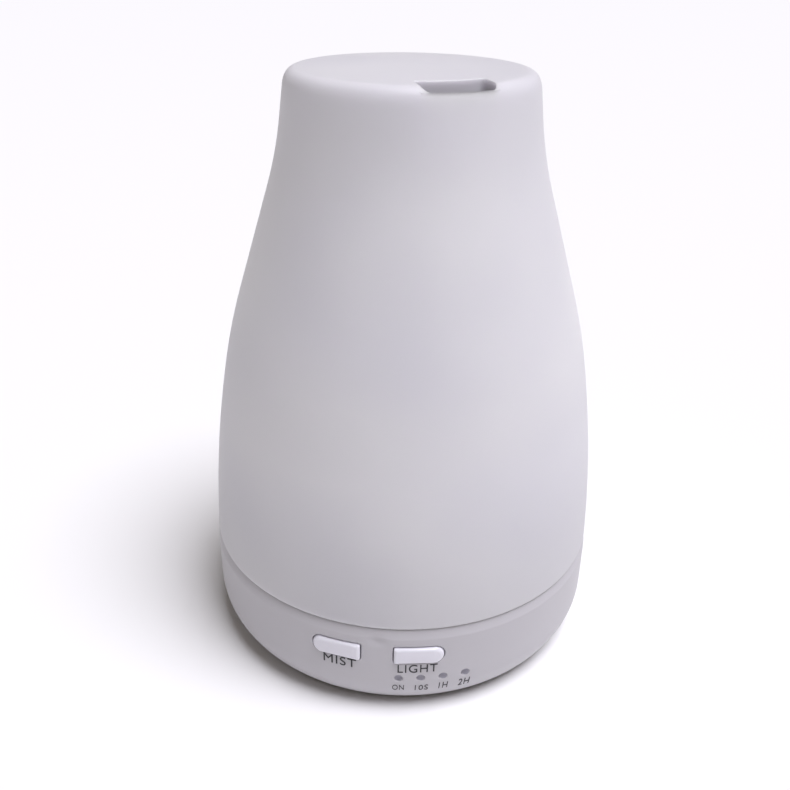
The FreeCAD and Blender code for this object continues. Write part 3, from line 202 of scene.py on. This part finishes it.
def paint_shade_low(material, low, high, share):
    """Painted shade: darken the colour softly below a height, from full at the high end to a share at the low
    end, in mm.
    """
    shader = material.node_tree.nodes["Principled BSDF"]
    colour = shader.inputs["Base Color"].links[0].from_socket
    place = add_node(material, "ShaderNodeTexCoord")
    split = add_node(material, "ShaderNodeSeparateXYZ", [("Vector", place, "Object")])
    ramp = add_node(material, "ShaderNodeMapRange", [("Value", split, "Z")], interpolation_type="SMOOTHSTEP")
    ends = {"From Min": low * MM, "From Max": high * MM, "To Min": share, "To Max": 1.0}
    for socket, value in ends.items():
        ramp.inputs[socket].default_value = value
    # painted shade: the colour is scaled down towards the bottom
    tone = add_node(material, "ShaderNodeVectorMath", [("Scale", ramp, "Result")], operation="SCALE")
    material.node_tree.links.new(colour, tone.inputs["Vector"])
    material.node_tree.links.new(tone.outputs["Vector"], shader.inputs["Base Color"])


def soak(material, weight, reach):
    """Let light soak into a translucent plastic, its reach in millimetres."""
    shader = material.node_tree.nodes["Principled BSDF"]
    shader.inputs["Subsurface Weight"].default_value = weight
    shader.inputs["Subsurface Scale"].default_value = reach * MM
    shader.inputs["Subsurface Radius"].default_value = (1.0, 0.95, 1.0)


def frosted_polypropylene(name, light, dark, cloud_size):
    """Moulded white polypropylene with a spark-eroded matt skin: light soaks in and comes out softened."""
    material = new_material(name, light, 0.48, 1.49)
    soak(material, 1.0, 2.5)
    add_clouding(material, light, dark, cloud_size)
    add_grain(material, 0.35, 0.006, 0.48)
    return material


# What each slot is made of: name, colour, roughness, metallic, IOR, grain size and depth in millimetres.
FINISHES = {
    # satin injection-moulded ABS: a fine even grain that spreads highlights
    "base_shell": ("satin_moulded_abs", "C2C0C5", 0.42, 0, 1.53, 0.30, 0.004),
    "button_plastic": ("polished_moulded_abs", "E6E5EE", 0.34, 0, 1.53, 0.30, 0.003),
    "ink": ("pad_printed_ink", "2A292E", 0.55, 0, 1.50, 0.15, 0.002),
    "lens_plastic": ("frosted_acrylic_light_pipe", "A3A1AD", 0.40, 0, 1.49, 0.20, 0.003),
    # moulded silicone: soft, slightly dusty and rubbery
    "silicone": ("moulded_silicone", "D9DADC", 0.62, 0, 1.41, 0.25, 0.006),
    "foot_rubber": ("moulded_nitrile_rubber", "2B2B2D", 0.75, 0, 1.52, 0.35, 0.012),
    "black_plastic": ("glass_filled_nylon", "1B1B1E", 0.50, 0, 1.53, 0.25, 0.006),
    "white_board_plastic": ("nylon_connector", "EDEAE0", 0.45, 0, 1.53, 0.20, 0.003),
    "lead_cover": ("extruded_pvc", "B9302C", 0.42, 0, 1.54, 0.40, 0.004),
    "led_body": ("led_lens_epoxy", "F3F0DC", 0.20, 0, 1.54, 0.30, 0.001),
    "ceramic_disc": ("fired_piezo_ceramic", "CFC9B8", 0.35, 0, 1.90, 0.10, 0.002),
    # metals keep the shader's usual index
    "screw_steel": ("zinc_plated_steel", "B9BBBE", 0.32, 1, 1.45, 0.20, 0.003),
    "magnet": ("sintered_ferrite", "3A3A3D", 0.55, 0, 1.90, 0.12, 0.006),
    "copper_winding": ("enamelled_copper", "B5693A", 0.30, 1, 1.45, 0.12, 0.010),
    "brass": ("turned_brass", "C6A85B", 0.30, 1, 1.45, 0.10, 0.003),
    "aluminium": ("extruded_aluminium", "C4C6C9", 0.38, 1, 1.45, 0.15, 0.004),
    "capacitor_can": ("sleeved_aluminium_can", "2A2F4A", 0.35, 0, 1.50, 0.30, 0.004),
}


def solder_masked_board():
    """Glass-epoxy board under green solder mask, with faint copper tracks showing through."""
    material = new_material("solder_masked_board", "1E5B38", 0.30, 1.55)
    shader = material.node_tree.nodes["Principled BSDF"]
    place = add_node(material, "ShaderNodeTexCoord")
    tracks = add_node(material, "ShaderNodeTexBrick", [("Vector", place, "Object")], Scale=1 / (6 * MM))
    tracks.inputs["Color1"].default_value = linear("1E5B38")
    tracks.inputs["Color2"].default_value = linear("1A5232")
    tracks.inputs["Mortar"].default_value = linear("2E7A4C")
    tracks.inputs["Mortar Size"].default_value = 0.06
    material.node_tree.links.new(tracks.outputs["Color"], shader.inputs["Base Color"])
    add_grain(material, 0.4, 0.003)
    return material


MATERIALS = {}


def make_materials():
    MATERIALS["frosted_shell"] = frosted_polypropylene("frosted_polypropylene", "E2E1E5", "DBDAE0", 34)
    # painted shade: the cover is seen to darken softly towards its rim; that shade is painted into its
    # colour, as its cause is not modelled
    paint_shade_low(MATERIALS["frosted_shell"], 24, 62, 0.85)
    MATERIALS["frosted_tank"] = frosted_polypropylene("frosted_tank_polypropylene", "EDEDF0", "E3E4EA", 20)
    MATERIALS["circuit_board"] = solder_masked_board()
    for slot, (name, colour, roughness, metallic, ior, grain, depth) in FINISHES.items():
        material = new_material(name, colour, roughness, ior, Metallic=metallic)
        add_grain(material, grain, depth, roughness)
        MATERIALS[slot] = material
    soak(MATERIALS["base_shell"], 0.25, 3)
    soak(MATERIALS["button_plastic"], 0.3, 2)
    soak(MATERIALS["lens_plastic"], 0.4, 1)
    soak(MATERIALS["silicone"], 0.4, 2)


def finish_nodes():
    """Every solid that keeps its own shape gets the finish of its slot."""
    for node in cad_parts.values():
        for socket in node.material_slots:
            socket.material = MATERIALS[socket.material.name.split(".")[0]]


# ---------------------------------------------------------------- modelling helpers


def deselect():
    if bpy.context.object and bpy.context.object.mode != "OBJECT":
        bpy.ops.object.mode_set(mode="OBJECT")
    bpy.ops.object.select_all(action="DESELECT")


def activate(piece):
    deselect()
    piece.select_set(True)
    bpy.context.view_layer.objects.active = piece


def settle(piece, name, slot, body, *replaced):
    """Name a finished piece, put its place in its mesh, say what it rides on and hide the parts it stands
    for.
    """
    activate(piece)
    bpy.ops.object.transform_apply(location=True, rotation=True, scale=True)
    piece.name = name
    piece.data.name = name
    piece.data.materials.clear()
    piece.data.materials.append(MATERIALS[slot])
    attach(piece, body)
    if replaced:
        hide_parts(*replaced)
    return piece


def smooth(piece, angle=30):
    activate(piece)
    bpy.ops.object.shade_smooth_by_angle(angle=math.radians(angle))


def apply_modifier(piece, kind, name, **settings):
    modifier = piece.modifiers.new(name, kind)
    for key, value in settings.items():
        setattr(modifier, key, value)
    activate(piece)
    bpy.ops.object.modifier_apply(modifier=name)


def lathe(outline, steps=192, closed=True):
    """Spin an outline of (radius, height) points in millimetres about the Z axis."""
    deselect()
    bpy.ops.mesh.primitive_plane_add(size=MM)
    piece = bpy.context.object
    bpy.ops.object.mode_set(mode="EDIT")
    bpy.ops.mesh.merge(type="CENTER")
    bpy.ops.transform.translate(value=(outline[0][0] * MM, 0, outline[0][1] * MM))
    rest = outline[1:] + outline[:1] if closed else outline[1:]
    before = outline[0]
    for point in rest:
        step = ((point[0] - before[0]) * MM, 0, (point[1] - before[1]) * MM)
        bpy.ops.mesh.extrude_vertices_move(TRANSFORM_OT_translate={"value": step})
        before = point
    bpy.ops.mesh.select_all(action="SELECT")
    bpy.ops.mesh.spin(steps=steps, angle=math.tau, center=(0, 0, 0), axis=(0, 0, 1))
    bpy.ops.mesh.select_all(action="SELECT")
    bpy.ops.mesh.remove_doubles(threshold=0.002 * MM)
    bpy.ops.mesh.normals_make_consistent(inside=False)
    bpy.ops.object.mode_set(mode="OBJECT")
    return piece


def arc_points(centre, radius, start, end, steps):
    """Points on an arc after its first one, angles in degrees."""
    points = []
    for step in range(1, steps + 1):
        angle = math.radians(start + (end - start) * step / steps)
        points.append((centre[0] + radius * math.cos(angle), centre[1] + radius * math.sin(angle)))
    return points


def leaning_arc(start, radius, lean, next_lean, steps):
    """Points on an arc that starts leaning inwards by one angle and ends leaning by the next."""
    across, up = radius * math.cos(math.radians(lean)), radius * math.sin(math.radians(lean))
    centre = (start[0] - across, start[1] - up)
    return arc_points(centre, radius, lean, next_lean, steps)


def rounded_outline(half_width, half_height, corners, grow=0.0, turns=8, sides=14):
    """Points round a rectangle, its corners given a radius at the right and at the left."""
    right, left = (max(radius + grow, 0.02) for radius in corners)
    wide, high = half_width + grow, half_height + grow
    centres = [(wide - right, -high + right, right, -90), (wide - right, high - right, right, 0),
               (-wide + left, high - left, left, 90), (-wide + left, -high + left, left, 180)]
    points = []
    for across, up, radius, start in centres:
        turned = math.radians(start)
        corner = [(across + radius * math.cos(turned), up + radius * math.sin(turned))]
        corner += arc_points((across, up), radius, start, start + 90, turns)
        if points:
            points += between(points[-1], corner[0], sides)
        points += corner
    return points + between(points[-1], points[0], sides)


def between(start, end, count):
    return [tuple(start[axis] + (end[axis] - start[axis]) * step / (count + 1) for axis in (0, 1))
            for step in range(1, count + 1)]


def on_front(outline, radius, middle, height):
    """Set a flat outline on an upright cylinder at the front, its middle across and its height given."""
    return [(middle + across, -math.sqrt(radius ** 2 - (middle + across) ** 2), height + up)
            for across, up in outline]


def stacked(loops):
    """Extrude a filled ring of points, in millimetres, through one loop after another."""
    deselect()
    bpy.ops.mesh.primitive_circle_add(vertices=len(loops[0]), radius=MM, fill_type="NGON")
    piece = bpy.context.object
    for vertex, point in zip(piece.data.vertices, loops[0]):
        vertex.co = Vector(point) * MM
    for before, after in zip(loops, loops[1:]):
        bpy.ops.object.mode_set(mode="EDIT")
        bpy.ops.mesh.extrude_region_move()
        bpy.ops.object.mode_set(mode="OBJECT")
        ring = [vertex for vertex in piece.data.vertices if vertex.select]
        places = [Vector(point) * MM for point in before]
        after_places = [Vector(point) * MM for point in after]
        chosen = [min(range(len(places)), key=lambda index: (places[index] - vertex.co).length_squared)
                  for vertex in ring]
        for vertex, index in zip(ring, chosen):
            vertex.co = after_places[index]
    bpy.ops.object.mode_set(mode="EDIT")
    bpy.ops.mesh.select_all(action="SELECT")
    bpy.ops.mesh.normals_make_consistent(inside=False)
    bpy.ops.object.mode_set(mode="OBJECT")
    return piece


# ---------------------------------------------------------------- stage


def make_stage():
    deselect()
    bpy.ops.mesh.primitive_plane_add(size=FLOOR_SIZE)
    floor = bpy.context.object
    floor.name = "floor"
    floor.data.materials.append(new_material("white_paper_sweep", "F4F4F4", 0.9, 1.3))
    world = bpy.data.worlds.new("studio")
    bpy.context.scene.world = world
    world.use_nodes = True
    sky = world.node_tree.nodes["Background"]
    sky.inputs["Color"].default_value = linear("FFF0DC")
    sky.inputs["Strength"].default_value = SKY_STRENGTH
    bpy.context.scene.view_settings.view_transform = "Standard"


def make_light(name, azimuth, height, softness, strength, colour):
    """A large soft light far away, its place given by angles from the front and from the floor."""
    data = bpy.data.lights.new(name, "SUN")
    data.angle = math.radians(softness)
    data.energy = strength
    data.color = linear(colour)[:3]
    light = bpy.data.objects.new(name, data)
    bpy.context.collection.objects.link(light)
    across, up = math.radians(azimuth), math.radians(height)
    towards = Vector((math.cos(up) * math.sin(across), -math.cos(up) * math.cos(across), math.sin(up)))
    light.rotation_euler = towards.to_track_quat("Z", "Y").to_euler()


def make_lights():
    make_light("soft_key", 66, 71, 34, 3.5, "F8F7FF")


def make_camera():
    azimuth = math.radians(VIEW_AZIMUTH)
    data = bpy.data.cameras.new("view")
    data.lens = LENS
    data.sensor_width = 36
    data.clip_start = 0.01
    camera = bpy.data.objects.new("view", data)
    bpy.context.collection.objects.link(camera)
    camera.location = (VIEW_DISTANCE * MM * math.sin(azimuth), -VIEW_DISTANCE * MM * math.cos(azimuth),
                       VIEW_HEIGHT * MM)
    heading = Matrix.Rotation(math.radians(VIEW_AZIMUTH + VIEW_TURN), 3, "Z")
    tilt = Matrix.Rotation(math.radians(90 - VIEW_TILT), 3, "X")
    roll = Matrix.Rotation(math.radians(VIEW_ROLL), 3, "Z")
    camera.rotation_euler = (heading @ tilt @ roll).to_euler()
    bpy.context.scene.camera = camera


# ---------------------------------------------------------------- cover


def cover_outside():
    """The outer outline, from the rim at the seam up to the end of the hollow arc of the neck."""
    points = [(SEAM_RADIUS, SEAM_HEIGHT), (47.98, 25.17), (48.15, 25.42), (48.25, 25.72), BODY_FOOT]
    points += leaning_arc(points[-1], BELLY_RADIUS, FOOT_LEAN, BELLY_LEAN, 16)
    points += leaning_arc(points[-1], SHOULDER_RADIUS, BELLY_LEAN, FLANK_LEAN, 8)
    start = points[-1]
    lean = math.radians(FLANK_LEAN)
    for step in range(1, 7):
        along = FLANK_LENGTH * step / 6
        points.append((start[0] - along * math.sin(lean), start[1] + along * math.cos(lean)))
    points += leaning_arc(points[-1], -NECK_RADIUS, FLANK_LEAN, NECK_LEAN, 10)
    return points


def cover_top(points):
    """The last of the neck, the rounded brow and the slightly domed top face."""
    slope = math.tan(math.radians(NECK_LEAN))
    neck = points[-1]
    brow = (neck[0] - slope * (TOP_ROUND_HEIGHT - neck[1]), TOP_ROUND_HEIGHT)
    points = points + between(neck, brow, 7) + [brow]
    corner = (brow[0] - slope * (TOP_FACE_HEIGHT - TOP_ROUND_HEIGHT), TOP_FACE_HEIGHT)
    face = (TOP_FACE_RADIUS, TOP_FACE_HEIGHT)
    for step in range(1, 11):
        t = step / 10
        before, bend, after = (1 - t) ** 2, 2 * t * (1 - t), t * t
        points.append(tuple(before * brow[i] + bend * corner[i] + after * face[i] for i in (0, 1)))
    rise = TOTAL_HEIGHT - TOP_FACE_HEIGHT
    for radius in (21.5, 17.5, 12.0, 6.0, 0.0):
        points.append((radius, TOTAL_HEIGHT - rise * (radius / TOP_FACE_RADIUS) ** 2))
    return points


def inner_wall(points):
    """The inside of the wall, from the ceiling down to the rim."""
    inside = []
    for before, point, after in zip(points, points[1:], points[2:]):
        run = Vector(after) - Vector(before)
        normal = Vector((-run.y, run.x)).normalized()
        inside.append((point[0] + normal.x * COVER_WALL, point[1] + normal.y * COVER_WALL))
    return inside[::-1]


def make_cover():
    outside = cover_outside()
    wall = inner_wall([point for point in outside if point[1] >= BODY_FOOT[1] - 0.6])
    rim_inside = (BODY_FOOT[0] - COVER_WALL, SEAM_HEIGHT)
    outline = cover_top(outside)
    ceiling_edge = wall[0][0] - (CEILING_HEIGHT - wall[0][1]) * math.tan(math.radians(NECK_LEAN))
    outline += [(0.0, CEILING_HEIGHT), (12.0, CEILING_HEIGHT), (ceiling_edge - 1.5, CEILING_HEIGHT),
                (ceiling_edge - 0.4, CEILING_HEIGHT - 0.4), (ceiling_edge + 0.1, CEILING_HEIGHT - 1.5)]
    outline += wall + [rim_inside]
    cover = lathe(outline)
    cut_slot(cover)
    smooth(cover, 35)
    return settle(cover, "cover_shell", "frosted_shell", "cover_body", "cover")


def slot_plan(grow):
    """The slot seen from above: a rounded strip between two arcs, turned towards its azimuth."""
    middle = (SLOT_INNER_RADIUS + SLOT_OUTER_RADIUS) / 2
    half = (SLOT_OUTER_RADIUS - SLOT_INNER_RADIUS) / 2
    turn = Matrix.Rotation(math.radians(SLOT_AZIMUTH), 2)
    points = []
    for across, out in rounded_outline(SLOT_HALF_WIDTH, half, (SLOT_CORNER, SLOT_CORNER), grow):
        flat = Vector((across, -math.sqrt((middle + out) ** 2 - across ** 2)))
        points.append(tuple(turn @ flat))
    return points


def top_height(radius):
    """The height of the outside of the cover at a radius near its top."""
    top = cover_top(cover_outside())
    for before, after in zip(top[::-1], top[-2::-1]):
        if before[0] <= radius <= after[0]:
            share = (radius - before[0]) / (after[0] - before[0])
            return before[1] + (after[1] - before[1]) * share
    return top[-1][1]


def boolean(piece, tool, operation):
    apply_modifier(piece, "BOOLEAN", operation.lower(), operation=operation, solver="EXACT", object=tool)
    bpy.data.objects.remove(tool, do_unlink=True)


def flared(steps, edge):
    """How far an opening has widened at each depth below the skin, for a round edge of that radius."""
    flare = []
    for step in range(steps + 1):
        angle = math.pi / 2 * step / steps
        flare.append((edge * (1 - math.sin(angle)), edge * (1 - math.cos(angle))))
    return flare


def cut_slot(cover):
    wall = slot_plan(CHUTE_WALL)
    tucked = [tuple(Vector(point) * min(1, CHUTE_TOP_RADIUS / math.hypot(*point))) for point in wall]
    boolean(cover, stacked([[(*point, CHUTE_BOTTOM) for point in wall],
                            [(*point, CEILING_HEIGHT + 0.3) for point in tucked]]), "UNION")
    loops = [[(*point, CHUTE_BOTTOM - 1) for point in slot_plan(0)]]
    for depth, grow in flared(5, SLOT_EDGE):
        plan = slot_plan(grow)
        loops.append([(*point, top_height(math.hypot(*point)) - depth) for point in plan])
    loops.append([(*point, TOTAL_HEIGHT + 1) for point in slot_plan(SLOT_EDGE + 0.02)])
    boolean(cover, stacked(loops), "DIFFERENCE")


# ---------------------------------------------------------------- base housing


def soften_corners(outline, corners, radius, steps=4):
    """Round chosen corners of an outline, which is a list of (radius, height) points."""
    result = []
    for index, point in enumerate(outline):
        if index not in corners:
            result.append(point)
            continue
        here = Vector(point)
        before = (Vector(outline[index - 1]) - here).normalized() * radius + here
        after = (Vector(outline[(index + 1) % len(outline)]) - here).normalized() * radius + here
        for step in range(steps + 1):
            t = step / steps
            result.append(tuple((1 - t) ** 2 * before + 2 * t * (1 - t) * here + t * t * after))
    return result


def housing_outline():
    inner = BASE_RADIUS - BASE_WALL
    centre = (BASE_RADIUS - ROUND_RADIUS, ROUND_TOP)
    low = -math.degrees(math.asin((ROUND_TOP - BASE_BOTTOM) / ROUND_RADIUS))
    foot = arc_points(centre, ROUND_RADIUS, 0, low, 28)[-1]
    inner_low = -math.degrees(math.asin((ROUND_TOP - LIP_TOP) / (ROUND_RADIUS - BASE_WALL)))
    outside = [foot] + arc_points(centre, ROUND_RADIUS, low, 0, 28)
    # the rows of the wall stand closer together near the top, where the hollow is pressed
    close_rows = SHOULDER_FOOT - 4
    outside += [(BASE_RADIUS, ROUND_TOP + (close_rows - ROUND_TOP) * step / 12) for step in range(1, 13)]
    upright = [(BASE_RADIUS, close_rows + 0.4 * step) for step in range(1, 10)]
    bend = [upright[-1], (BASE_RADIUS, SHOULDER_FOOT), (wall_radius(24.0), 24.0)]
    shoulder = soften_corners(bend, [1], 0.35)[1:]
    outside += upright + shoulder + [(wall_radius(24.35), 24.35)]
    rim = soften_corners([outside[-1], (SEAM_RADIUS, SEAM_HEIGHT), (RIM_INNER_RADIUS, SEAM_HEIGHT),
                          (RIM_INNER_RADIUS, LEDGE_TOP)], [1, 2], 0.3)[1:]
    inside = [(LEDGE_RADIUS, LEDGE_TOP), (LEDGE_RADIUS, LEDGE_BOTTOM)]
    inside += [(inner, LEDGE_BOTTOM), (inner, ROUND_TOP)]
    inside += arc_points(centre, ROUND_RADIUS - BASE_WALL, 0, inner_low, 10)
    inside += [(LIP_RADIUS, LIP_TOP), (LIP_RADIUS, LIP_BOTTOM)]
    inside += [(LIP_OPENING, LIP_BOTTOM), (LIP_OPENING, BASE_BOTTOM)]
    return outside + rim + inside


def press_scoop(housing):
    """A shallow fingertip hollow under the seam, pressed softly into the skin."""
    for vertex in housing.data.vertices:
        across, along, up = vertex.co / MM
        if along > 0 or math.hypot(across, along) < RIM_INNER_RADIUS + 1:
            continue
        far = math.hypot((across - SCOOP[0]) / SCOOP_HALF[0], (up - SCOOP[1]) / SCOOP_HALF[1])
        if far < 1:
            vertex.co.y += SCOOP_DEPTH * MM * math.cos(math.pi / 2 * far) ** 2


def front_cutter(outline_at, middle, height, edge, outside=BASE_RADIUS):
    """A tool for an opening through the front wall, with its mouth rounded where it meets the skin."""
    loops = [on_front(outline_at(0), BASE_RADIUS - BASE_WALL - 3, middle, height)]
    for depth, grow in flared(5, edge):
        loops.append(on_front(outline_at(grow), outside - depth, middle, height))
    loops.append(on_front(outline_at(edge + 0.02), BASE_RADIUS + 1.5, middle, height))
    return stacked(loops)


def button_outline(side, grow=0.0):
    """A tongue, round at its outer end and nearly square at the end towards the middle."""
    corners = (BUTTON_HALF_HEIGHT, BUTTON_CORNER) if side > 0 else (BUTTON_CORNER, BUTTON_HALF_HEIGHT)
    return rounded_outline(BUTTON_HALF_WIDTH, BUTTON_HALF_HEIGHT, corners, grow)


def lamp_outline(grow=0.0):
    radius = LAMP_BORE + grow
    return rounded_outline(radius, radius, (radius, radius), 0.0, 8, 0)


def make_housing():
    housing = lathe(housing_outline(), 360)
    press_scoop(housing)
    for side in (1, -1):
        cutter = front_cutter(lambda grow: button_outline(side, BUTTON_GAP + grow), BUTTON_X * side, BUTTON_Z,
                              OPENING_EDGE)
        boolean(housing, cutter, "DIFFERENCE")
    for number in range(1, 5):
        middle = LAMP_PITCH * number
        cutter = front_cutter(lamp_outline, middle, LAMP_Z, LAMP_EDGE, wall_radius(LAMP_Z))
        boolean(housing, cutter, "DIFFERENCE")
    deselect()
    inlet_place = (0, BASE_RADIUS * MM, INLET_Z * MM)
    bpy.ops.mesh.primitive_cylinder_add(vertices=64, radius=INLET_RADIUS * MM, depth=8 * MM,
                                        location=inlet_place, rotation=(math.pi / 2, 0, 0))
    boolean(housing, bpy.context.object, "DIFFERENCE")
    smooth(housing, 32)
    return settle(housing, "housing_shell", "base_shell", "base", "base_housing")


# ---------------------------------------------------------------- buttons and lamps


def flat_on_front(outline, distance, middle):
    return [(middle + across, -distance, BUTTON_Z + up) for across, up in outline]


def make_button(name, side, body, node):
    """A tongue with a pillowed edge, and behind it the flange and the stem that reach the switch."""
    middle = BUTTON_X * side
    stem = rounded_outline(STEM_RADIUS, STEM_RADIUS, (STEM_RADIUS, STEM_RADIUS))
    flange = rounded_outline(FLANGE_HALF_WIDTH, FLANGE_HALF_HEIGHT, (0.5, 0.5))
    loops = [flat_on_front(stem, STEM_END, middle), flat_on_front(stem, FLANGE_BACK, middle),
             flat_on_front(flange, FLANGE_BACK, middle), flat_on_front(flange, FLANGE_FRONT, middle),
             flat_on_front(button_outline(side), FLANGE_FRONT, middle)]
    for depth, shrink in flared(6, BUTTON_EDGE):
        loops.append(on_front(button_outline(side, -shrink), BUTTON_FACE_RADIUS - depth, middle, BUTTON_Z))
    for share in (0.45, 0.6, 0.75, 0.86, 0.93, 0.98):
        face = button_outline(side, -share * BUTTON_HALF_HEIGHT)
        loops.append(on_front(face, BUTTON_FACE_RADIUS, middle, BUTTON_Z))
    button = stacked(loops)
    smooth(button, 40)
    return settle(button, name, "button_plastic", body, node)


def make_lamps():
    """Four light pipes with dished faces, set a little below the skin."""
    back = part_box("indicator_lenses")[1].y / MM
    dish = [(0.0, 0.28), (0.3, 0.26), (0.55, 0.19), (0.75, 0.08), (0.86, 0.01), (LAMP_RADIUS, 0.0)]
    for number in range(1, 5):
        middle = LAMP_PITCH * number
        face = math.sqrt(wall_radius(LAMP_Z) ** 2 - middle ** 2) - LAMP_RECESS
        outline = [(radius, face - depth) for radius, depth in dish] + [(LAMP_RADIUS, -back), (0.0, -back)]
        lamp = lathe(outline, 32)
        activate(lamp)
        lamp.rotation_euler = (math.pi / 2, 0, 0)
        lamp.location = (middle * MM, 0, LAMP_Z * MM)
        smooth(lamp, 40)
        settle(lamp, f"lamp_{number}", "lens_plastic", "base", "indicator_lenses")


# ---------------------------------------------------------------- lettering


def wall_radius(height):
    """The radius of the base's outside at a height, in millimetres."""
    if height >= SHOULDER_FOOT:
        slope = (BASE_RADIUS - SEAM_RADIUS) / (SEAM_HEIGHT - SHOULDER_FOOT)
        return BASE_RADIUS - slope * (height - SHOULDER_FOOT)
    if height >= ROUND_TOP:
        return BASE_RADIUS
    drop = ROUND_TOP - height
    return BASE_RADIUS - ROUND_RADIUS + math.sqrt(ROUND_RADIUS ** 2 - drop ** 2)


def wrap_on_wall(piece):
    """Bend a flat piece, drawn on the plane y = 0, around the front wall of the base."""
    for vertex in piece.data.vertices:
        angle = vertex.co.x / (BASE_RADIUS * MM)
        reach = wall_radius(vertex.co.z / MM) * MM - vertex.co.y
        vertex.co = Vector((reach * math.sin(angle), -reach * math.cos(angle), vertex.co.z))


def letters(word, name, left, right, low, high):
    """A printed word that fills a place on the wall: azimuths in degrees, heights in millimetres."""
    deselect()
    bpy.ops.object.text_add()
    text = bpy.context.object
    text.data.body = word
    text.data.size = 1.0
    text.data.extrude = 1.0
    text.data.space_character = LETTER_SPACING
    bpy.ops.object.convert(target="MESH")
    text = bpy.context.object
    bpy.ops.object.mode_set(mode="EDIT")
    bpy.ops.mesh.select_all(action="SELECT")
    bpy.ops.mesh.subdivide(number_cuts=3)
    bpy.ops.object.mode_set(mode="OBJECT")
    text.rotation_euler = (math.pi / 2, 0, 0)
    bpy.ops.object.transform_apply(location=True, rotation=True, scale=True)
    lowest = [min(vertex.co[axis] for vertex in text.data.vertices) for axis in range(3)]
    highest = [max(vertex.co[axis] for vertex in text.data.vertices) for axis in range(3)]
    start = math.radians(left) * BASE_RADIUS * MM
    width = math.radians(right - left) * BASE_RADIUS * MM
    for vertex in text.data.vertices:
        across = (vertex.co.x - lowest[0]) / (highest[0] - lowest[0])
        up = (vertex.co.z - lowest[2]) / (highest[2] - lowest[2])
        vertex.co.x = start + across * width
        vertex.co.z = (low + up * (high - low)) * MM
        vertex.co.y *= INK_THICKNESS * MM
    wrap_on_wall(text)
    return settle(text, name, "ink", "base")


def make_lettering():
    letters("LIGHT", "word_light", 5.64, 16.46, 12.85, 15.2)
    letters("MIST", "word_mist", -15.0, -5.66, 13.05, 15.5)
    letters("ON", "word_on", 4.27, 7.5, 6.75, 8.85)
    letters("10S", "word_ten_seconds", 10.53, 14.2, 6.55, 8.7)
    letters("1H", "word_one_hour", 17.2, 19.7, 6.55, 9.0)
    letters("2H", "word_two_hours", 22.9, 26.1, 6.45, 9.1)


make_materials()
make_stage()
make_lights()
make_camera()
finish_nodes()
make_cover()
make_housing()
make_button("light_key_cap", 1, "light_key", "light_button")
make_button("mist_key_cap", -1, "mist_key", "mist_button")
make_lamps()
make_lettering()
